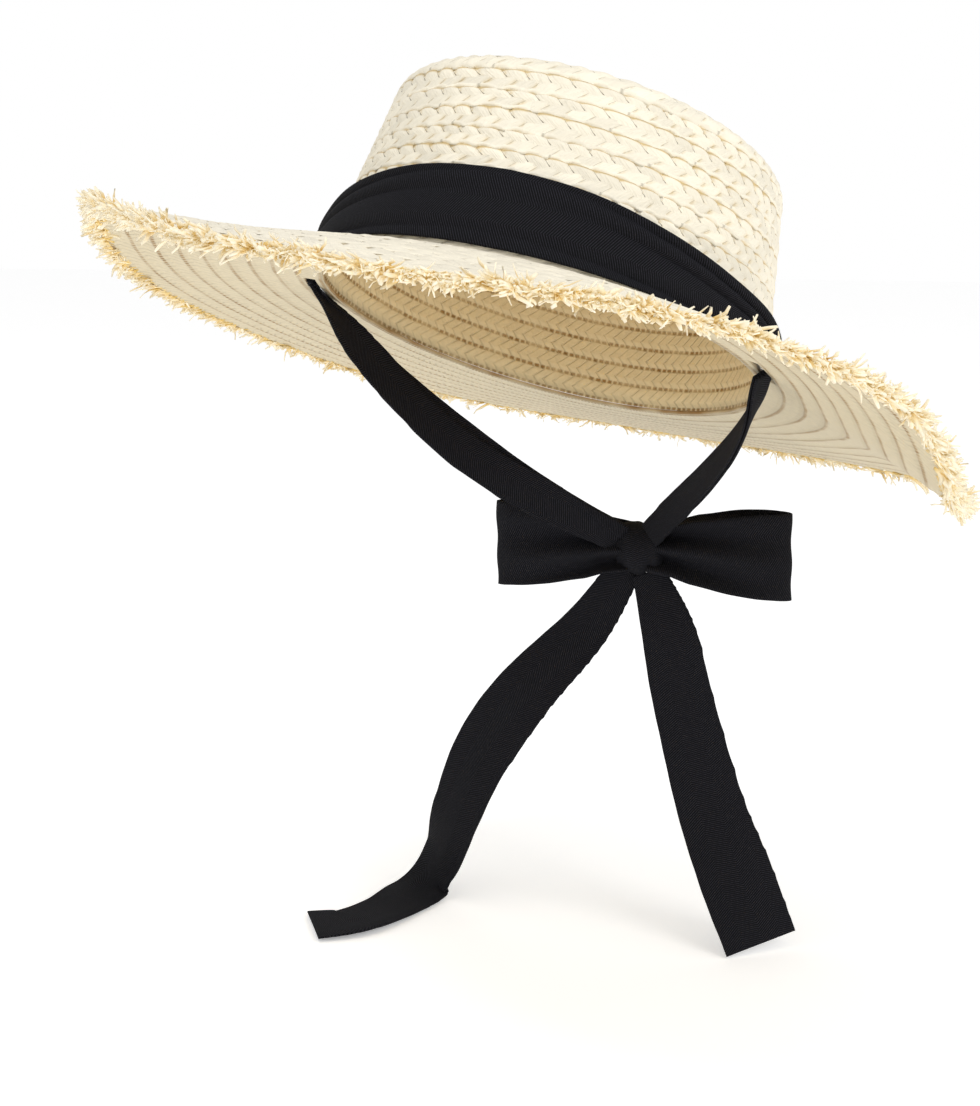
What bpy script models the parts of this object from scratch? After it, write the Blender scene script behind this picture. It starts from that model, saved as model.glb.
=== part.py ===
"""Paper sun hat: sewn crown, wavy brim with a frayed edge, and a twill ribbon tied behind the neck.

The hat's own frame has its origin at the middle of the head opening, the front towards -Y, the wearer's
left towards +X and the crown's axis along +Z. The hat is worn tipped back and to the left, so its frame
hangs under an empty that is turned. The tied ribbon hangs plumb and is placed in the world, whose origin
is the same point.
"""

import math

import bpy
from mathutils import Euler, Matrix, Vector

MM = 0.001

# Crown
HEAD_LENGTH = 197.0 * MM
HEAD_WIDTH = 169.0 * MM
CROWN_HEIGHT = 76.0 * MM
CROWN_LEAN = 10.2
CROWN_EDGE_RADIUS = 6.5 * MM
CROWN_TOP_RISE = 1.5 * MM

# Braid: both parts are sewn from rounds of the same flat plait
STRAW_THICKNESS = 2.0 * MM
BRAID_PITCH = 9.4 * MM
BRAID_RELIEF = 0.9 * MM

# Brim
BRIM_WIDTH = 82.0 * MM
BRIM_CURL = 1.3

# Fringe
FRINGE_LENGTH = 12.0 * MM
FRINGE_ROOT = 5.0 * MM
FRINGE_THICKNESS = 2.4 * MM
FRINGE_LOCKS = 66

# How the hat sits on the head, in degrees
TIP_BACK = 20.0
TIP_LEFT = 9.8

# Ribbon
RIBBON_WIDTH = 36.0 * MM
RIBBON_THICKNESS = 1.2 * MM
SLIT_TURN_LEFT = 79.0
SLIT_TURN_RIGHT = 85.0
SLIT_LENGTH = 24.0 * MM
SLIT_WIDTH = 4.0 * MM
SLIT_OFFSET = 4.8 * MM
SLIT_DROP = 6.0 * MM
LOOP_LENGTH = 52.5 * MM
KNOT_WIDTH = 20.0 * MM
KNOT_DEPTH = 17.0 * MM
KNOT_HEIGHT = 24.0 * MM
KNOT_ROUNDING = 5.0 * MM

# Places in the world: the nape, and the surface that the ribbon's ends reach
KNOT_PLACE = (21.0 * MM, 77.0 * MM, -94.0 * MM)
FLOOR_DEPTH = 260.2 * MM

GAP = 0.3 * MM
MERGE = 0.01 * MM

# Resolution
CROWN_STEPS = 40
BRIM_STEPS = 60
RIBBON_STEPS = 2

CROWN_HALF_LENGTH = HEAD_LENGTH / 2 + STRAW_THICKNESS
CROWN_HALF_WIDTH = HEAD_WIDTH / 2 + STRAW_THICKNESS

# Height of the brim's edge over the head opening, as a share of the brim's width, every 30 degrees from
# the front round by the wearer's left.
BRIM_WAVE = (
    {"turn": 0, "rise": -0.37},
    {"turn": 30, "rise": -0.26},
    {"turn": 60, "rise": -0.235},
    {"turn": 90, "rise": -0.36},
    {"turn": 120, "rise": -0.07},
    {"turn": 150, "rise": 0.09},
    {"turn": 180, "rise": 0.11},
    {"turn": 210, "rise": 0.01},
    {"turn": 240, "rise": -0.05},
    {"turn": 270, "rise": -0.09},
    {"turn": 300, "rise": -0.07},
    {"turn": 330, "rise": -0.31},
)

# The band from the middle of the front to the slit. Turns are shares of the slit's turn, heights are
# shares of the ribbon's width, and out is how far it stands off the wall as a share of the slit's offset.
BAND_SECTIONS = (
    {"low_turn": 0.00, "low_rise": 0.05, "low_out": 0.0, "top_turn": 0.00, "top_rise": 0.86, "top_out": 0.0},
    {"low_turn": 0.25, "low_rise": 0.05, "low_out": 0.0, "top_turn": 0.26, "top_rise": 0.82, "top_out": 0.0},
    {"low_turn": 0.48, "low_rise": 0.05, "low_out": 0.05, "top_turn": 0.52, "top_rise": 0.71, "top_out": 0.05},
    {"low_turn": 0.68, "low_rise": 0.05, "low_out": 0.25, "top_turn": 0.76, "top_rise": 0.58, "top_out": 0.3},
    {"low_turn": 0.84, "low_rise": 0.05, "low_out": 0.6, "top_turn": 0.94, "top_rise": 0.44, "top_out": 0.9},
    {"low_turn": 0.93, "low_rise": 0.0, "low_out": 0.9, "top_turn": 1.05, "top_rise": 0.22, "top_out": 1.1},
    {"low_turn": 0.95, "low_rise": -0.06, "low_out": 1.0, "top_turn": 1.06, "top_rise": -0.02, "top_out": 1.0},
    {"low_turn": 0.95, "low_rise": -0.17, "low_out": 1.0, "top_turn": 1.06, "top_rise": -0.17, "top_out": 1.0},
)

# The ribbon from each slit to the knot, a smooth pull over the back of the head, in even rows: its width as
# a share of the ribbon's width, gathered at both ends.
LEG_SECTIONS = (
    {"width": 0.40},
    {"width": 0.52},
    {"width": 0.58},
    {"width": 0.54},
    {"width": 0.40},
)
# The pull's two handles as shares of the straight length from slit to knot: the first from the slit, the
# second from the knot. The wearer's right side has further to go round the head. Its first edge lies along
# the crown's wall, as the slit does, and has turned flat to the head at the given share of the way.
LEG_TURNED = 0.4
LEG_PULLS = {
    "left": {"in": 0.09, "back": 0.17, "down": 0.27, "out": 0.11, "forward": 0.11, "up": 0.13},
    "right": {"in": 0.08, "back": 0.20, "down": 0.22, "out": 0.32, "forward": 0.22, "up": 0.18},
}

# A bow loop, from the knot out along its front and back along its rear. Out is a share of the loop's
# length, back and sag are shares of the ribbon's width.
LOOP_SECTIONS = (
    {"out": 0.00, "back": -0.08, "sag": 0.00, "width": 0.57},
    {"out": 0.25, "back": -0.14, "sag": 0.00, "width": 0.68},
    {"out": 0.60, "back": -0.16, "sag": -0.01, "width": 0.85},
    {"out": 0.88, "back": -0.10, "sag": -0.02, "width": 0.92},
    {"out": 1.00, "back": 0.04, "sag": -0.03, "width": 0.93},
    {"out": 0.90, "back": 0.20, "sag": -0.02, "width": 0.92},
    {"out": 0.60, "back": 0.26, "sag": 0.00, "width": 0.85},
    {"out": 0.25, "back": 0.22, "sag": 0.01, "width": 0.68},
    {"out": 0.00, "back": 0.12, "sag": 0.01, "width": 0.57},
)

# The free ends, from the knot down. Side and back are measured from the knot and down from under it, all as
# shares of the knot's height over the floor. Face turns the strip about the plumb line, in degrees, from
# facing the front. Each end starts at the knot with its own gathered width.
TAIL_GATHER = 0.42
TAIL_LEFT_SECTIONS = (
    {"side": 0.088, "back": -0.024, "down": 0.15, "width": 0.69, "face": 0},
    {"side": 0.128, "back": -0.013, "down": 0.34, "width": 0.75, "face": 5},
    {"side": 0.208, "back": -0.020, "down": 0.62, "width": 0.83, "face": 14},
    {"side": 0.285, "back": -0.045, "down": 0.80, "width": 0.93, "face": 26},
    {"side": 0.37, "back": -0.088, "down": 0.978, "width": 1.0, "face": 39},
)
TAIL_RIGHT_SECTIONS = (
    {"side": -0.16, "back": 0.020, "down": 0.16, "width": 0.62, "face": -5},
    {"side": -0.33, "back": 0.006, "down": 0.35, "width": 0.80, "face": -13},
    {"side": -0.463, "back": 0.026, "down": 0.54, "width": 0.87, "face": -22},
    {"side": -0.555, "back": 0.065, "down": 0.74, "width": 0.87, "face": -34},
    {"side": -0.625, "back": 0.125, "down": 0.905, "width": 0.88, "face": -46},
    {"side": -0.67, "back": 0.105, "down": 0.982, "width": 0.90, "face": -38},
    {"side": -0.70, "back": -0.055, "down": 0.990, "width": 0.82, "face": -20},
    {"side": -0.76, "back": -0.225, "down": 0.986, "width": 0.84, "face": -32},
    {"side": -0.86, "back": -0.285, "down": 0.990, "width": 1.0, "face": -61},
)


def clear_scene():
    for item in list(bpy.data.objects):
        bpy.data.objects.remove(item, do_unlink=True)


def make_collection(name):
    collection = bpy.data.collections.new(name)
    bpy.context.scene.collection.children.link(collection)
    return collection


def make_material(name, colour, roughness):
    material = bpy.data.materials.new(name)
    material.use_nodes = True
    shader = material.node_tree.nodes["Principled BSDF"]
    shader.inputs["Base Color"].default_value = (*colour, 1.0)
    shader.inputs["Roughness"].default_value = roughness
    shader.inputs["Metallic"].default_value = 0.0
    return material


def smooth_through(rows, key, t):
    """Value of a column at t from 0 to 1 along the rows, on a smooth curve through them."""
    last = len(rows) - 1
    place = min(max(t, 0.0), 1.0) * last
    i = min(int(place), last - 1)
    f = place - i
    p1, p2 = rows[i][key], rows[i + 1][key]
    p0 = rows[i - 1][key] if i > 0 else 2 * p1 - p2
    p3 = rows[i + 2][key] if i + 2 <= last else 2 * p2 - p1
    return 0.5 * (2 * p1 + (p2 - p0) * f + (2 * p0 - 5 * p1 + 4 * p2 - p3) * f**2
                  + (3 * p1 - p0 - 3 * p2 + p3) * f**3)


def wave_rise(turn):
    """Height of the brim's edge at a turn in radians, as a share of the brim's width."""
    count = len(BRIM_WAVE)
    rows = [BRIM_WAVE[i % count] for i in range(-1, count + 2)]
    share = (math.degrees(turn) % 360.0) / 360.0 * count
    return smooth_through(rows, "rise", (share + 1) / (len(rows) - 1))


def oval(turn, out=0.0, half_width=CROWN_HALF_WIDTH, half_length=CROWN_HALF_LENGTH):
    """Point at a turn from the front towards the wearer's left, a distance out from the oval."""
    x, y = half_width * math.sin(turn), -half_length * math.cos(turn)
    normal = Vector((math.sin(turn) / half_width, -math.cos(turn) / half_length)).normalized()
    return Vector((x + out * normal.x, y + out * normal.y))


def turned_blank(name, profile, steps):
    """Turn a profile of (radius, height) pairs about Z into an open sheet, and read it as a mesh."""
    curve = bpy.data.meshes.new(name + "_profile")
    curve.from_pydata([(r, 0.0, z) for r, z in profile], [(i, i + 1) for i in range(len(profile) - 1)], [])
    blank = bpy.data.objects.new(name + "_blank", curve)
    bpy.context.scene.collection.objects.link(blank)
    screw = blank.modifiers.new("turn", "SCREW")
    screw.steps = screw.render_steps = steps
    screw.use_merge_vertices = True
    screw.merge_threshold = MERGE
    bpy.context.view_layer.update()
    mesh = bpy.data.meshes.new_from_object(blank.evaluated_get(bpy.context.evaluated_depsgraph_get()))
    mesh.name = name
    bpy.data.objects.remove(blank, do_unlink=True)
    return mesh


def add_object(name, mesh, collection, material, thickness=None, offset=0.0, parent=None):
    """Link a mesh as a named piece, give a sheet its wall, and shade it smooth."""
    piece = bpy.data.objects.new(name, mesh)
    collection.objects.link(piece)
    piece.data.materials.clear()
    piece.data.materials.append(material)
    if parent is not None:
        piece.parent = parent
    if thickness is not None:
        wall = piece.modifiers.new("wall", "SOLIDIFY")
        wall.thickness = thickness
        wall.offset = offset
        wall.use_even_offset = False
    piece.data.shade_smooth()
    piece.data.set_sharp_from_angle(angle=math.radians(50))
    return piece


def braid_rounds(length, pitch=BRAID_PITCH, relief=BRAID_RELIEF):
    """Run and relief pairs over a sewn length: each round rises to a ridge and steps back to the next."""
    count = max(2, round(length / pitch))
    run = length / count
    ridge_share = 0.82
    pairs = []
    for i in range(count):
        pairs.append((i * run, 0.0))
        pairs.append(((i + ridge_share) * run, relief))
    pairs.append((length, 0.0))
    return pairs


def crown_profile():
    """Crown section from the middle of the top down to the opening, on the long half axis."""
    lean = math.radians(CROWN_LEAN)
    side_height = CROWN_HEIGHT - CROWN_EDGE_RADIUS
    top_radius = CROWN_HALF_LENGTH - side_height * math.tan(lean) - CROWN_EDGE_RADIUS
    profile = [(0.0, CROWN_HEIGHT + CROWN_TOP_RISE)]
    top_rings = 3
    for i in range(1, top_rings + 1):
        share = i / top_rings
        profile.append((top_radius * share, CROWN_HEIGHT + CROWN_TOP_RISE * (1 - share**2)))
    edge_points = 2
    for i in range(1, edge_points + 1):
        angle = math.radians(90 * i / (edge_points + 1))
        profile.append((top_radius + CROWN_EDGE_RADIUS * math.sin(angle),
                        CROWN_HEIGHT - CROWN_EDGE_RADIUS * (1 - math.cos(angle))))
    for run, relief in reversed(braid_rounds(side_height)):
        height = max(run, GAP)
        profile.append((CROWN_HALF_LENGTH - height * math.tan(lean) + relief - BRAID_RELIEF, height))
    return profile


def build_crown(collection, material, hat):
    mesh = turned_blank("crown", crown_profile(), CROWN_STEPS)
    mesh.transform(Matrix.Diagonal((CROWN_HALF_WIDTH / CROWN_HALF_LENGTH, 1.0, 1.0, 1.0)))
    return add_object("crown", mesh, collection, material, STRAW_THICKNESS, -1.0, hat)


def brim_height(out, turn):
    """Height of the brim's upper face at a distance out from the crown."""
    share = max(out, 0.0) / BRIM_WIDTH
    return BRIM_WIDTH * wave_rise(turn) * share**BRIM_CURL


def brim_reach(out, turn):
    """Plan distance of a point that lies the distance out along the sloping brim."""
    drop = brim_height(BRIM_WIDTH, turn)
    return out * math.sqrt(max(BRIM_WIDTH**2 - drop**2, 0.0)) / BRIM_WIDTH


def shape_brim(mesh):
    """Carry a flat ring blank, whose radius counts out from the crown, onto the wavy oval brim."""
    for vertex in mesh.vertices:
        radius = math.hypot(vertex.co.x, vertex.co.y)
        turn = math.atan2(vertex.co.x, -vertex.co.y)
        out = radius - CROWN_HALF_LENGTH
        place = oval(turn, brim_reach(out, turn))
        vertex.co = (place.x, place.y, vertex.co.z + brim_height(out, turn))


def slit_turn(side):
    """Turn of a slit from the front in radians, positive on the wearer's left."""
    return side * math.radians(SLIT_TURN_LEFT if side > 0 else SLIT_TURN_RIGHT)


def slit_cutter(side, cutters, hat):
    """Slot through the brim beside the crown, its length along the crown's wall."""
    turn = slit_turn(side)
    place = oval(turn, SLIT_OFFSET)
    bpy.ops.mesh.primitive_cube_add(size=1.0)
    cutter = bpy.context.active_object
    cutter.name = "slit_cutter_left" if side > 0 else "slit_cutter_right"
    depth = 6 * STRAW_THICKNESS
    cutter.data.transform(Matrix.Diagonal((SLIT_WIDTH, SLIT_LENGTH, depth, 1.0)))
    for owner in list(cutter.users_collection):
        owner.objects.unlink(cutter)
    cutters.objects.link(cutter)
    cutter.parent = hat
    cutter.location = (place.x, place.y, 0.0)
    normal = oval(turn, 1.0) - oval(turn)
    cutter.rotation_euler = (0.0, 0.0, math.atan2(normal.y, normal.x))
    cutter.hide_render = True
    cutter.display_type = "WIRE"
    return cutter


def build_brim(collection, cutters, material, hat):
    inner = -STRAW_THICKNESS
    profile = [(CROWN_HALF_LENGTH + inner, 0.0)]
    profile += [(CROWN_HALF_LENGTH + run, relief - BRAID_RELIEF if run > 0 else 0.0)
                for run, relief in braid_rounds(BRIM_WIDTH)]
    mesh = turned_blank("brim", profile, BRIM_STEPS)
    shape_brim(mesh)
    brim = add_object("brim", mesh, collection, material, STRAW_THICKNESS, -1.0, hat)
    for side in (1, -1):
        cut = brim.modifiers.new("slit", "BOOLEAN")
        cut.operation = "DIFFERENCE"
        cut.object = slit_cutter(side, cutters, hat)
    return brim


def lock_reach(index):
    """Length of one lock as a share of the full fringe, from two beats that don't repeat together."""
    return 0.80 + 0.12 * math.sin(index * 2.4) + 0.08 * math.sin(index * 5.3 + 1.0)


def lock_lift(index):
    """Height of a lock's tip over the brim's own run, as a share of the fringe's length."""
    return 0.22 + 0.14 * math.sin(index * 1.7 + 0.6) + 0.10 * math.sin(index * 4.1)


def build_fringe(collection, material, hat):
    """Ring of pointed locks: every second step is a tip, the steps between are the notches."""
    steps = 2 * FRINGE_LOCKS
    start = BRIM_WIDTH + GAP
    profile = [(CROWN_HALF_LENGTH + start, 0.0), (CROWN_HALF_LENGTH + start + FRINGE_LENGTH, 0.0)]
    mesh = turned_blank("fringe", profile, steps)
    limit = CROWN_HALF_LENGTH + start + FRINGE_LENGTH / 2
    for vertex in mesh.vertices:
        if math.hypot(vertex.co.x, vertex.co.y) < limit:
            continue
        turn = math.atan2(vertex.co.x, -vertex.co.y)
        step = round(turn / (2 * math.pi) * steps) % steps
        is_tip = step % 2 == 0
        reach = FRINGE_LENGTH * lock_reach(step // 2) if is_tip else FRINGE_ROOT
        radius = CROWN_HALF_LENGTH + start + reach
        vertex.co = (radius * math.sin(turn), -radius * math.cos(turn),
                     FRINGE_LENGTH * lock_lift(step // 2) if is_tip else 0.0)
    shape_brim(mesh)
    return add_object("fringe", mesh, collection, material, FRINGE_THICKNESS, -1.0, hat)


def sheet(name, u_steps, v_steps, place):
    """Flat grid carried onto a surface: place(u, v) gives its points for u and v from 0 to 1."""
    bpy.ops.mesh.primitive_grid_add(x_subdivisions=u_steps, y_subdivisions=v_steps, size=1.0)
    grid = bpy.context.active_object
    mesh = grid.data
    for vertex in mesh.vertices:
        vertex.co = place(vertex.co.x + 0.5, vertex.co.y + 0.5)
    bpy.data.objects.remove(grid, do_unlink=True)
    mesh.name = name
    return mesh


def build_band(collection, material, hat):
    """Ribbon round the front of the crown, from one slit to the other."""
    lean = math.tan(math.radians(CROWN_LEAN))
    off_wall = GAP + RIBBON_THICKNESS / 2

    def edge(u, which):
        side = 1 if u > 0.5 else -1
        t = abs(2 * u - 1)
        turn = slit_turn(side) * smooth_through(BAND_SECTIONS, which + "_turn", t)
        height = RIBBON_WIDTH * smooth_through(BAND_SECTIONS, which + "_rise", t)
        out = smooth_through(BAND_SECTIONS, which + "_out", t)
        wall = off_wall - height * lean
        place = oval(turn, wall + (SLIT_OFFSET - wall) * out)
        return Vector((place.x, place.y, height))

    def place(u, v):
        return edge(u, "low").lerp(edge(u, "top"), v)

    mesh = sheet("ribbon_band", 48, RIBBON_STEPS, place)
    return add_object("ribbon_band", mesh, collection, material, RIBBON_THICKNESS, 0.0, hat)


def slit_exit(side):
    """World point just under the lower end of the band that comes through a slit."""
    place = oval(slit_turn(side), SLIT_OFFSET)
    return hat_matrix() @ Vector((place.x, place.y, -SLIT_DROP - GAP - RIBBON_THICKNESS / 2))


def run_of(points, u, step=0.02):
    """Direction of a centre line at u."""
    return (points(min(u + step, 1.0)) - points(max(u - step, 0.0))).normalized()


def square_to(run, way):
    """The part of a direction that is square to a run, as a unit vector."""
    return (way - run * way.dot(run)).normalized()


def strip(points, widths, across):
    """Place function of a strip: points, widths and across directions are functions of u."""
    def place(u, v):
        return points(u) + across(u) * widths(u) * (v - 0.5)
    return place


def knot_reach(way):
    """How far the rounded knot reaches from its middle along a unit direction."""
    halves = Vector((KNOT_WIDTH, KNOT_DEPTH, KNOT_HEIGHT)) / 2
    return KNOT_ROUNDING + sum((half - KNOT_ROUNDING) * abs(part) for half, part in zip(halves, way))


def build_leg(side, collection, material):
    """Ribbon from a slit over the back of the head to the knot, flat against the round of the head."""
    name = "ribbon_leg_left" if side > 0 else "ribbon_leg_right"
    start = slit_exit(side)
    pull = LEG_PULLS["left" if side > 0 else "right"]
    handle = Vector((side * pull["out"], -pull["forward"], pull["up"]))
    end = Vector(KNOT_PLACE) + handle.normalized() * (knot_reach(handle.normalized()) + GAP)
    length = (end - start).length
    leave = start + length * Vector((-side * pull["in"], pull["back"], -pull["down"]))
    arrive = end + length * handle

    def points(u):
        return ((1 - u)**3 * start + 3 * u * (1 - u)**2 * leave
                + 3 * u**2 * (1 - u) * arrive + u**3 * end)

    def widths(u):
        return RIBBON_WIDTH * smooth_through(LEG_SECTIONS, "width", u)

    along_wall = oval(slit_turn(side) + 0.05) - oval(slit_turn(side) - 0.05)
    start_edge = hat_matrix().to_3x3() @ Vector((along_wall.x, along_wall.y, 0.0)).normalized()

    def flat_to_head(u):
        outward = Vector((points(u).x, points(u).y, 0.0))
        return outward.cross(run_of(points, u)).normalized()

    if flat_to_head(0.0).dot(start_edge) < 0:
        start_edge = -start_edge

    def across(u):
        flat = flat_to_head(u)
        turned = min(u / LEG_TURNED, 1.0)
        return start_edge.lerp(flat, turned * turned * (3 - 2 * turned)).normalized()

    mesh = sheet(name, 12, RIBBON_STEPS, strip(points, widths, across))
    return add_object(name, mesh, collection, material, RIBBON_THICKNESS, 0.0)


def build_loop(side, collection, material):
    """One loop of the bow, out from the knot and back."""
    name = "bow_loop_left" if side > 0 else "bow_loop_right"
    knot = Vector(KNOT_PLACE)
    root = KNOT_WIDTH / 2 + GAP

    def points(u):
        out = root + LOOP_LENGTH * smooth_through(LOOP_SECTIONS, "out", u)
        back = RIBBON_WIDTH * smooth_through(LOOP_SECTIONS, "back", u)
        sag = RIBBON_WIDTH * smooth_through(LOOP_SECTIONS, "sag", u)
        return knot + Vector((side * max(out, root), back, sag))

    def widths(u):
        return RIBBON_WIDTH * smooth_through(LOOP_SECTIONS, "width", u)

    def across(u):
        return square_to(run_of(points, u), Vector((0.0, 0.0, 1.0)))

    mesh = sheet(name, 24, RIBBON_STEPS, strip(points, widths, across))
    return add_object(name, mesh, collection, material, RIBBON_THICKNESS, 0.0)


def build_tail(side, collection, material):
    """One free end, from under the knot down to the surface it reaches."""
    name = "ribbon_tail_left" if side > 0 else "ribbon_tail_right"
    lower = TAIL_LEFT_SECTIONS if side > 0 else TAIL_RIGHT_SECTIONS
    knot = Vector(KNOT_PLACE)
    root = knot - Vector((0.0, 0.0, KNOT_HEIGHT / 2 + GAP))
    fall = root.z + FLOOR_DEPTH
    first = root + fall * Vector((lower[0]["side"], lower[0]["back"], -lower[0]["down"]))
    way = (first - knot).normalized()
    start = (knot + way * (knot_reach(way) + GAP) - root) / fall
    rows = ({"side": start.x, "back": start.y, "down": -start.z, "width": TAIL_GATHER, "face": 0}, *lower)

    def points(u):
        return root + fall * Vector((smooth_through(rows, "side", u), smooth_through(rows, "back", u),
                                     -smooth_through(rows, "down", u)))

    def widths(u):
        return RIBBON_WIDTH * smooth_through(rows, "width", u)

    def across(u):
        face = math.radians(smooth_through(rows, "face", u))
        return square_to(run_of(points, u), Vector((math.cos(face), math.sin(face), 0.0)))

    mesh = sheet(name, 4 * (len(rows) - 1), RIBBON_STEPS, strip(points, widths, across))
    return add_object(name, mesh, collection, material, RIBBON_THICKNESS, 0.0)


def build_knot(collection, material):
    bpy.ops.mesh.primitive_cube_add(size=1.0)
    cube = bpy.context.active_object
    mesh = cube.data
    bpy.data.objects.remove(cube, do_unlink=True)
    mesh.transform(Matrix.Diagonal((KNOT_WIDTH, KNOT_DEPTH, KNOT_HEIGHT, 1.0)))
    mesh.name = "bow_knot"
    knot = add_object("bow_knot", mesh, collection, material)
    knot.location = KNOT_PLACE
    rounding = knot.modifiers.new("rounding", "BEVEL")
    rounding.width = min(KNOT_ROUNDING, 0.45 * min(KNOT_WIDTH, KNOT_DEPTH, KNOT_HEIGHT))
    rounding.segments = 3
    return knot


def hat_matrix():
    """The hat's frame in the world: tipped back, then to the wearer's left, about the head opening."""
    return Euler((-math.radians(TIP_BACK), math.radians(TIP_LEFT), 0.0)).to_matrix().to_4x4()


def main():
    clear_scene()
    collection = make_collection("paper_hat")
    cutters = make_collection("cutters")
    hat = bpy.data.objects.new("hat_seat", None)
    collection.objects.link(hat)
    hat.rotation_euler = hat_matrix().to_euler()

    straw = make_material("plaited paper straw", (0.88, 0.80, 0.64), 0.6)
    frayed = make_material("frayed paper straw", (0.83, 0.66, 0.34), 0.7)
    twill = make_material("black cotton twill", (0.008, 0.008, 0.011), 0.85)

    build_crown(collection, straw, hat)
    build_brim(collection, cutters, straw, hat)
    build_fringe(collection, frayed, hat)
    build_band(collection, twill, hat)
    for side in (1, -1):
        build_leg(side, collection, twill)
        build_loop(side, collection, twill)
        build_tail(side, collection, twill)
    build_knot(collection, twill)
    bpy.context.view_layer.update()


main()
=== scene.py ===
"""Paper sun hat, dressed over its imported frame.

Rounds of plaited paper straw, a frayed paper edge and one length of black herringbone twill. Every piece is
worked out with numpy in the hat's own frame, whose origin is the middle of the head opening, and is then
tipped back and to the wearer's left as the frame's solids are. The tied ribbon hangs plumb.
"""

import math

import bpy
import numpy as np
from bpy.props import FloatProperty, IntProperty, PointerProperty, StringProperty
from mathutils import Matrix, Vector


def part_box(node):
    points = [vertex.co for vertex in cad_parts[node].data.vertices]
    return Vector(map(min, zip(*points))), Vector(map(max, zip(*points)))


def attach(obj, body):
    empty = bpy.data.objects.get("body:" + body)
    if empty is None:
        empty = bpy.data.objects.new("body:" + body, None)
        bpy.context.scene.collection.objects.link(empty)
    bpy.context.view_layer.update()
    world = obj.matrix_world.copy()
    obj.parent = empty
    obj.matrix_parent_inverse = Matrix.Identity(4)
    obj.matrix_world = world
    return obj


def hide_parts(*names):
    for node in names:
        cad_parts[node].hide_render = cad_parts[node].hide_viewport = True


bl_info = {
    "name": "Plaited paper sun hat",
    "version": (1, 0, 0),
    "blender": (4, 5, 0),
    "location": "3D View > Sidebar > Paper hat",
    "description": "Builds a wide-brimmed hat of plaited paper straw with a frayed edge and a tied ribbon",
    "category": "Add Mesh",
}

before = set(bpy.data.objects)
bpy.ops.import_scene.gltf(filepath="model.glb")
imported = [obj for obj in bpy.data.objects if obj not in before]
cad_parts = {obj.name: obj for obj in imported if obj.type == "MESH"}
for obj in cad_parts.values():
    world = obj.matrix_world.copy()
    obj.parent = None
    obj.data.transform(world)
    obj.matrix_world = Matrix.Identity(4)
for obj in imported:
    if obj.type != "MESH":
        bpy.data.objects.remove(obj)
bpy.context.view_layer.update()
MM = 0.001
FULL_TURN = 2 * math.pi
FLOOR_DEPTH = 260.2 * MM

# Height of the brim's edge over the head opening, as a share of the brim's width, every 30 degrees from
# the front round by the wearer's left.
BRIM_RISE = (-0.37, -0.26, -0.235, -0.36, -0.07, 0.09, 0.11, 0.01, -0.05, -0.09, -0.07, -0.31)

# The band's low and top edges from the middle of the front to the slit: turns in shares of the slit's turn,
# rises in shares of the ribbon's width, and how far out in shares of the way from the wall to the slit.
BAND = {
    "low_turn": (0.00, 0.25, 0.48, 0.68, 0.84, 0.93, 0.95, 0.95),
    "low_rise": (0.05, 0.05, 0.05, 0.05, 0.05, 0.02, -0.02, -0.06),
    "low_out": (0.0, 0.0, 0.05, 0.25, 0.6, 0.9, 1.0, 1.0),
    "top_turn": (0.00, 0.26, 0.52, 0.76, 0.94, 1.05, 1.06, 1.06),
    "top_rise": (0.86, 0.82, 0.71, 0.58, 0.44, 0.24, 0.04, -0.06),
    "top_out": (0.0, 0.0, 0.05, 0.3, 0.9, 1.1, 1.0, 1.0),
}

# The ribbon from a slit to the knot: its widths in shares of the ribbon's width, the share of the way on
# which it turns to face outwards, how many millimetres under the opening it starts, and the pull of its
# curve at both ends, in shares of the straight length between them.
LEG_WIDTH = {"left": (0.38, 0.37, 0.38, 0.37, 0.34), "right": (0.40, 0.50, 0.56, 0.52, 0.40)}
LEG_TURNED = 0.22
LEG_START = 1.8
LEG_PULLS = {
    "left": {"in": 0.09, "back": 0.17, "down": 0.27, "out": 0.11, "forward": 0.11, "up": 0.13},
    "right": {"in": 0.08, "back": 0.20, "down": 0.22, "out": 0.32, "forward": 0.22, "up": 0.18},
}

# A bow loop from the knot out along its front and back along its rear: out in shares of the loop's length,
# back, sag and width in shares of the ribbon's width.
LOOP = {
    "out": (0.00, 0.25, 0.60, 0.88, 1.00, 0.90, 0.60, 0.25, 0.00),
    "back": (-0.08, -0.14, -0.16, -0.10, 0.04, 0.20, 0.26, 0.22, 0.12),
    "sag": (0.00, 0.00, -0.01, -0.02, -0.03, -0.02, 0.00, 0.01, 0.01),
    "width": (0.57, 0.68, 0.85, 0.92, 0.93, 0.92, 0.85, 0.68, 0.57),
}

# Points across a pull or a free end, and across a loop
FOLDED_COLUMNS, GATHERED_COLUMNS = 37, 31

# The free ends from the knot down, in shares of the knot's height over the floor. Face turns the strip
# about the plumb line, in degrees, and width is in shares of the ribbon's width, gathered at the knot.
TAIL_GATHER = 0.42
TAILS = {
    "left": {
        "side": (0.088, 0.128, 0.208, 0.285, 0.37),
        "back": (-0.024, -0.013, -0.020, -0.045, -0.088),
        "down": (0.15, 0.34, 0.62, 0.80, 0.978),
        "width": (0.69, 0.75, 0.83, 0.93, 1.0),
        "face": (0, 5, 14, 26, 39),
    },
    "right": {
        "side": (-0.16, -0.33, -0.463, -0.555, -0.625, -0.67, -0.70, -0.76, -0.86),
        "back": (0.020, 0.006, 0.026, 0.065, 0.125, 0.105, -0.055, -0.225, -0.285),
        "down": (0.16, 0.35, 0.54, 0.74, 0.905, 0.982, 0.990, 0.986, 0.990),
        "width": (0.62, 0.80, 0.87, 0.87, 0.88, 0.90, 0.82, 0.84, 1.0),
        "face": (-5, -13, -22, -34, -46, -38, -20, -32, -61),
    },
}

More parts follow.
